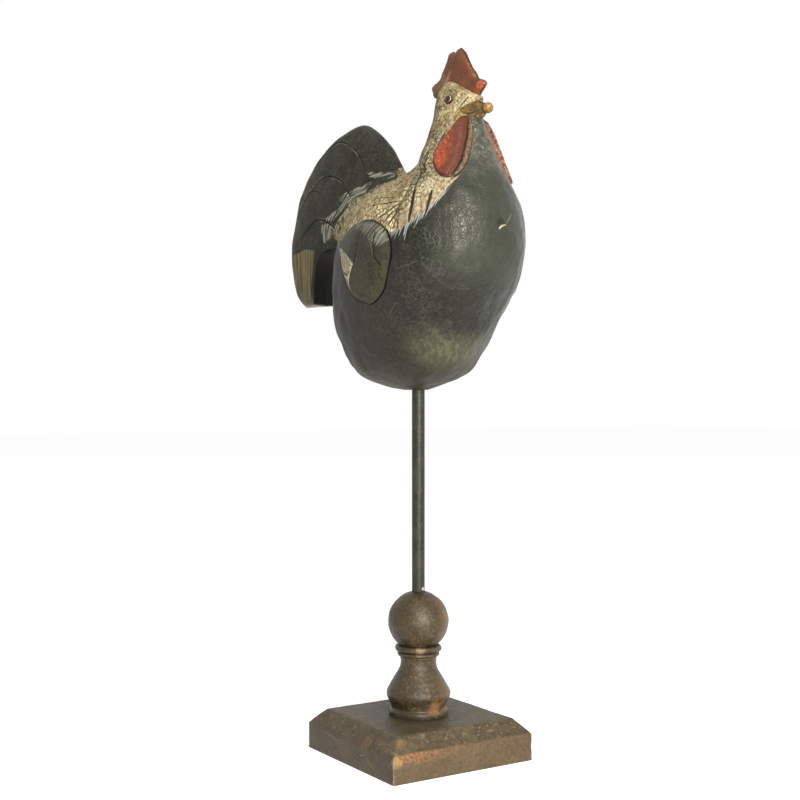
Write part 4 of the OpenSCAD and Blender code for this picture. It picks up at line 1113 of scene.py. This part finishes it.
def paint_wing():
    k = Look("wing_paint", 0.18)
    dark, height = dark_coat(k, (42, 41, 30), (61, 58, 43), 0.1)
    at = k.join(k.y - k.z * 0.75, k.z)
    lines = k.noise((0.85, 26, 1), 1.5, at)
    zone = k.span(k.field("strokes") + (k.noise((0.9, 20, 1), 2, at) - 0.5) * 16, -0.6, 1.4)
    stroke = zone * k.span(lines, 0.45, 0.56)
    dark.over(stroke * 0.92, k.mix(k.noise(5, 2), (115, 116, 108), (179, 177, 162)))
    cream = k.mix(k.clouds(2.3, 2, 0.46, 0.62), (200, 189, 161), (149, 132, 95))
    cream.over(k.cracks(4, 0.5, 0.2) * 0.7, (90, 75, 46))
    cream.over(k.dots(2.6, 0.6, 0.3) * 0.8, (57, 47, 30))
    colour = k.mix(k.span(k.field("cream"), -0.3, 0.4), dark, cream)
    cut = k.span(k.field("line"), 0.8, 0.2)
    rim = k.span(k.field("rim"), 0.45, 0.05)
    colour.over(k.most(cut, rim), (12, 11, 10))
    rough = k.noise(5) * 0.14 + 0.4
    return k.finish(colour, rough, height - cut * 1.2, 0.22)


def paint_comb():
    k = Look("comb_paint", 0.32)
    colour = k.mix(k.clouds(9, 3, 0.35, 0.68), (97, 55, 35), (116, 68, 44))
    rear = k.span(k.y + k.noise(7) * 14, 46, 32) * 0.8
    colour.over(rear, k.mix(k.noise((3, 2, 12)), (102, 70, 48), (135, 108, 76)))
    streak = k.line(k.side, (30, 211), (40, 226), 4.5, 3, 4)
    colour.over(streak * 0.55, (160, 136, 108))
    edge = k.span(k.field("rim") + (k.noise(2.4) - 0.5) * 6, 2.3, 1)
    # Partly painted highlight: lighter orange on the comb's front rim, partly its paint tone and partly the
    # light the rim catches
    glow = edge * k.span(k.y, 50, 58) * k.span(k.z, 214, 220)
    colour.over(glow * 0.65, k.mix(k.clouds(2, 2, 0.44, 0.58), (130, 63, 35), (177, 113, 71)))
    lean = k.span(k.field("rim"), 5, 2)
    colour.over(lean * k.span(k.y, 42, 52, 0, 0.45), (73, 36, 23))
    tip = k.vector("DISTANCE", k.side, (71.5, 211.6, 0))
    colour.over(k.span(tip + k.noise(2) * 2, 5.8, 4.2, 0, 0.85),
                k.mix(k.clouds(2.6, 2, 0.44, 0.56), (150, 62, 40), (172, 98, 72)))
    low = k.span(k.z, 213, 208) * k.span(k.y, 48, 56)
    colour.over(low * 0.35, (130, 59, 32))
    grain = k.cracks(1.7, 0.2, 0.4) * k.clouds(6, 2, 0.4, 0.6)
    colour.over(grain * 0.35, (52, 27, 17))
    dark = k.span(k.field("rim") + k.noise(3) * 0.9, 1.25, 0.75)
    colour.over(dark * 0.85, (35, 20, 13))
    rough = k.noise(4) * 0.2 + 0.38
    return k.finish(colour, rough, k.noise(1.2) * 0.6 - grain * 0.6, 0.2)


def paint_wattle(side):
    k = Look("wattle_paint_" + side, 0.34)
    right = side == "right"
    lobe = k.span(k.field("crease"), -0.2, 0.4)
    away = k.span(k.field("crease") + (k.noise(5, 2) - 0.5) * 6, 5, 18)
    red = k.mix(away, (84, 41, 28), (150, 66, 38))
    red.over(k.span(k.z, 166, 148) * away * 0.85, (205, 84, 44))
    light = k.clouds((2, 2, 3), 2, 0.52, 0.64, warp=0.3) * (away * 0.65 + 0.1)
    red.over(light, (191, 108, 66))
    red.over(k.clouds((2.2, 2.2, 4), 2, 0.55, 0.64, 0, 0.65), (84, 33, 20))
    if not right:
        pale = k.span(k.field("crease"), 8, 3) * k.clouds((2.2, 2.2, 2.8), 2, 0.46, 0.58)
        red.over(pale * 0.65, (166, 136, 112))
        red.over(k.span(k.field("rim"), 1.6, 0.6, 0, 0.7), (74, 29, 20))
    band = k.mix(k.clouds(2.3, 2, 0.44, 0.58), (113, 86, 68), (71, 66, 49))
    band.over(k.clouds(2.9, 2, 0.58, 0.66, 0, 0.7, warp=0.3), (142, 84, 65))
    if not right:
        band = k.mix(k.clouds(2.1, 2, 0.44, 0.56), (168, 142, 119), (108, 74, 59))
        outer = k.field("rim") + (k.noise(3, 2) - 0.5) * 2
        band.over(k.span(outer, 1.7, 0.7, 0, 0.9), (127, 61, 39))
        band.over(k.span(k.z, 170, 182, 0, 0.75), (134, 68, 44))
    colour = k.mix(lobe, band, red)
    line = k.span(abs(k.field("crease")), 0.95, 0.25)
    colour.over(line * (0.92 if right else 0.4), (31, 20, 16))
    rim = k.span(k.field("rim"), 0.5, 0) * lobe
    colour.over(rim * k.clouds(3, 3, 0.36, 0.6, 0.15, 0.6), (88, 57, 21))
    grain = k.cracks(2.2, 0.3, 0.3) * k.clouds(5, 2, 0.36, 0.55)
    colour.over(grain * 0.45, (70, 29, 19))
    rough = k.noise(4) * 0.2 + 0.36
    return k.finish(colour, rough, k.noise(1.4, 4) - grain * 0.5, 0.3)


def paint_beak():
    k = Look("beak_paint", 0.45)
    colour = k.mix(k.clouds((2.2, 14, 2.2), 3, 0.4, 0.62), (110, 84, 34), (68, 52, 24))
    streak = k.clouds((1.4, 12, 1.4), 2, 0.53, 0.61, warp=0.4)
    front = k.span(k.y + k.noise(4, 2) * 6, 68, 76)
    colour.over(front * 0.6, (90, 65, 36))
    colour.over(streak * 0.85, (40, 32, 16))
    below = k.span(k.z, beak_z + 1, beak_z - 2.5)
    spots = k.clouds(2.4, 3, 0.5, 0.6) * below
    colour.over(spots * 0.8, (166, 150, 104))
    colour.over(k.span(k.field("mouth"), 0.35, 0.85) * 0.85, (39, 30, 12))
    rough = k.noise(3) * 0.2 + 0.36
    return k.finish(colour, rough, k.noise(1.1), 0.12)


def paint_ball():
    k = Look("beak_ball_paint", 0.55)
    colour = k.mix(k.clouds(2.6, 3, 0.38, 0.62), (158, 119, 60), (128, 90, 39))
    colour.over(k.cracks(1.9, 0.25, 0.6) * 0.7, (79, 56, 24))
    colour.over(k.clouds(1.5, 2, 0.58, 0.68, 0, 0.8), (183, 164, 107))
    return k.finish(colour, k.noise(2, 2) * 0.2 + 0.26, k.noise(0.9, 2), 0.08)


def paint_eye():
    k = Look("eye_paint", 0.2)
    here = k.join(k.field("along"), k.field("up"))
    iris = k.vector("DISTANCE", here, (-0.3, 0, 0))
    ball = k.vector("DISTANCE", here, (0, 0, 0))
    colour = k.mix(k.clouds(0.8, 2, 0.4, 0.6), (190, 154, 134), (154, 108, 88))
    colour.over(k.span(iris, 2.2, 1.95), (17, 11, 8))
    colour.over(k.span(iris, 1.8, 1.5), k.mix(k.noise(0.9, 2), (45, 26, 19), (76, 47, 32)))
    colour.over(k.span(ball, 2.2, 2.45), (17, 13, 10))
    return k.finish(colour, k.noise(2, 2) * 0.12 + 0.3, k.noise(1, 2), 0.04)


def wood_coat(k, dark, light):
    """Brown paint over wood: worn, speckled and scratched."""
    colour = k.mix(k.clouds(16, 4, 0.34, 0.68), dark, light)
    colour.over(k.clouds(2.2, 3, 0.48, 0.68, 0, 0.32), (116, 102, 76))
    colour.over(k.clouds(3.2, 3, 0.52, 0.66, 0, 0.45, warp=0.5), (43, 36, 23))
    dash = k.cracks(4.4, 0.22, 0.25, (1, 1, 0.6), 3) * k.clouds(5, 3, 0.54, 0.64)
    colour.over(dash * 0.55, (146, 123, 91))
    specks = k.dots(3.6, 0.45, 0.1)
    colour.over(specks * 0.7, (170, 156, 127))
    height = k.noise(1.4, 4, rough=0.7) * 0.9 - dash * 0.6 + k.noise(4) * 1.1
    return colour, height


def rubbed(k, colour, patches):
    """Patches rubbed through to another colour: their middles, sizes, tints and shares."""
    for at, size, tint, share in patches:
        d = k.vector("DISTANCE", k.p, at) + (k.noise(4.5, 5, rough=0.75) - 0.5) * (size * 2.6)
        grain = k.clouds(1.3, 4, 0.34, 0.56, 0.35, 1, rough=0.75)
        colour.over(k.span(d, size * 1.1, size * 0.2) * grain * share, tint)


def paint_post():
    k = Look("post_paint", 0.36)
    colour, height = wood_coat(k, (56, 46, 30), (70, 58, 39))
    # Painted light and shade: the post is painted darker on its side toward −X, as in shade, and lighter on
    # its side toward +X, as lit
    turned = (k.x * -0.8 + k.y * 0.3) * 0.05
    colour.over(k.span(turned, 0.1, 0.8, 0, 0.45), (43, 35, 21))
    colour.over(k.span(turned, -0.35, -0.85, 0, 0.6), (112, 90, 62))
    # Painted shade: the foot of the post, where it meets the plinth, is painted darker
    foot = k.span(k.z, plinth_h + 6.5, plinth_h + 1) * 0.55
    colour.over(foot, (37, 33, 22))
    colour.over(k.span(k.z, post_top - 4, post_top - 0.5) * 0.7, (32, 26, 19))
    rubbed(k, colour, [
        ((14, -17, ball_z + 4), 7, (121, 90, 58), 0.8), ((10, -19, ball_z - 8), 5.5, (109, 73, 45), 0.7),
        ((0.5, -21.5, plinth_h + 9), 7.5, (147, 106, 75), 0.95),
        ((9, -20.5, plinth_h + 13), 6, (112, 82, 55), 0.6),
        ((-8, -14, collar_z), 4.5, (152, 120, 91), 0.9)])
    bead = k.span(abs(k.z - collar_z - collar_bead_r), 1.3, 0.2)
    colour.over(bead * 0.7, (28, 21, 16))
    seam = k.span(abs(k.z - lower_bead_z - lower_bead_r), 1, 0.2)
    colour.over(seam * k.span(k.radius, collar_r - 0.2, collar_r - 1.2) * 0.7, (32, 25, 18))
    rough = k.noise(4, 4) * 0.22 + 0.3
    return k.finish(colour, rough, height, 0.26)


def paint_plinth():
    k = Look("plinth_paint", 0.3)
    colour, height = wood_coat(k, (71, 60, 42), (88, 76, 55))
    top = k.span(k.z, plinth_h - 1.2, plinth_h - 0.2)
    grain = k.clouds((2.4, 40, 2.4), 3, 0.46, 0.62, warp=0.4)
    colour.over(grain * 0.35, (50, 44, 31))
    colour.over(top * k.span(k.radius, 46, 24) * 0.75, (55, 52, 35))
    # Painted shade: a dark ring on the plinth's top right round the foot of the post
    colour.over(top * k.span(k.radius, 27.5, 22) * 0.8, (35, 33, 22))
    # Painted light and shade: a lighter reddish mottle only on the front (−Y) face, partly its paint and
    # partly painted light, and the left (−X) face painted darker as shade
    front, side = (k.span(axis, 1.5 - half, 0.4 - half) for axis in (k.y, k.x))
    colour.over(front * k.clouds(2, 4, 0.3, 0.7, 0.1, 0.6, rough=0.7), (108, 86, 61))
    colour.over(side * 0.5, (63, 48, 31))
    worn = k.field("edge") + (k.noise(3, 4, rough=0.7) - 0.5) * 5.5
    colour.over(k.span(worn, 0.5, -0.5, 0, 0.65), (121, 97, 67))
    straight = plinth_h - chamfer_w
    run = k.span(k.x, -56, 22, 1, 0)
    low = k.span(k.z + k.noise((12, 5, 5)) * 8, straight - 4.5, straight + 2)
    rust = front * run * low * k.clouds((7, 3, 2.2), 3, 0.32, 0.52)
    colour.over(rust * 0.95, k.mix(k.clouds(2.4, 2, 0.44, 0.58), (145, 108, 75), (121, 81, 49)))
    rubbed(k, colour, [
        ((3 - half, -half, straight - 3), 5, (166, 132, 86), 0.9),
        ((-50, -52, straight + 7), 5, (147, 118, 70), 0.6), ((-60, 6, 12), 9, (101, 76, 47), 0.6),
        ((-58, -22, 21), 7, (121, 95, 59), 0.6)])
    colour.over(k.lines(k.side, plinth_nicks, 1.6) * side * 0.7, (144, 118, 79))
    colour.over(k.lines(k.side, plinth_gouges, 2) * side * 0.8, (28, 22, 15))
    bevel = k.span(k.z, straight, straight + 1) * k.span(k.z, plinth_h, plinth_h - 1)
    chips = k.clouds((5, 5, 2), 2, 0.6, 0.66, warp=1) * bevel
    colour.over(chips * 0.6, (134, 116, 82))
    pale = k.span(k.field("upright") + k.noise(2.5) * 1.6, 2.3, 1.4)
    colour.over(pale * 0.7, (136, 121, 92))
    rough = k.noise(5, 4) * 0.2 + 0.38
    return k.finish(colour, rough, height, 0.45)


def paint_rod():
    k = Look("rod_paint", 0.28)
    colour = k.mix(k.clouds(9, 3, 0.36, 0.64), (32, 33, 26), (48, 48, 40))
    colour.over(k.clouds((2, 2, 7), 4, 0.52, 0.7, 0, 0.55, rough=0.7), (73, 66, 52))
    colour.over(k.dots(3, 0.4, 0.2) * 0.8, (122, 119, 104))
    fleck = k.vector("DISTANCE", k.p, (1.2, -4.6, post_top + 1.6))
    colour.over(k.span(fleck, 1.5, 1), (180, 176, 159))
    rough = k.noise(4) * 0.2 + 0.3
    return k.finish(colour, rough, k.noise(1.2, 4), 0.12)


def paint_dowel():
    k = Look("dowel_wood", 0.3, True)
    colour = k.mix(k.noise((1.2, 1.2, 20), 4), (165, 135, 93), (130, 97, 59))
    return k.finish(colour, k.noise(3, 2) * 0.1 + 0.6, k.noise(1), 0.1)


def paint_screw():
    k = Look("screw_steel", 0.5, True)
    k.shader["Metallic"].default_value = 1
    colour = k.mix(k.noise(2), (165, 163, 154), (122, 116, 105))
    return k.finish(colour, k.noise(1.5) * 0.2 + 0.25, k.noise(0.8, 2), 0.05)


# Every visible piece gets its paint
skin_paint, dowel_paint, wing_paint, eye_paint = paint_skin(), paint_dowel(), paint_wing(), paint_eye()
paints = {"carved_body": skin_paint, "carved_head": skin_paint, "carved_tail": paint_tail(),
          "carved_comb": paint_comb(), "carved_beak": paint_beak(), "beak_ball": paint_ball(),
          "steel_rod": paint_rod(), "turned_post_skin": paint_post(), "plinth_block": paint_plinth(),
          "neck_dowel": dowel_paint, "tail_dowels": dowel_paint, "post_screw": paint_screw()}
for word in ("right", "left"):
    paints["carved_wing_" + word] = wing_paint
    paints["eye_bead_" + word] = eye_paint
    paints["carved_wattle_" + word] = paint_wattle(word)
for name, material in paints.items():
    materials = bpy.data.objects[name].data.materials
    materials.clear()
    materials.append(material)
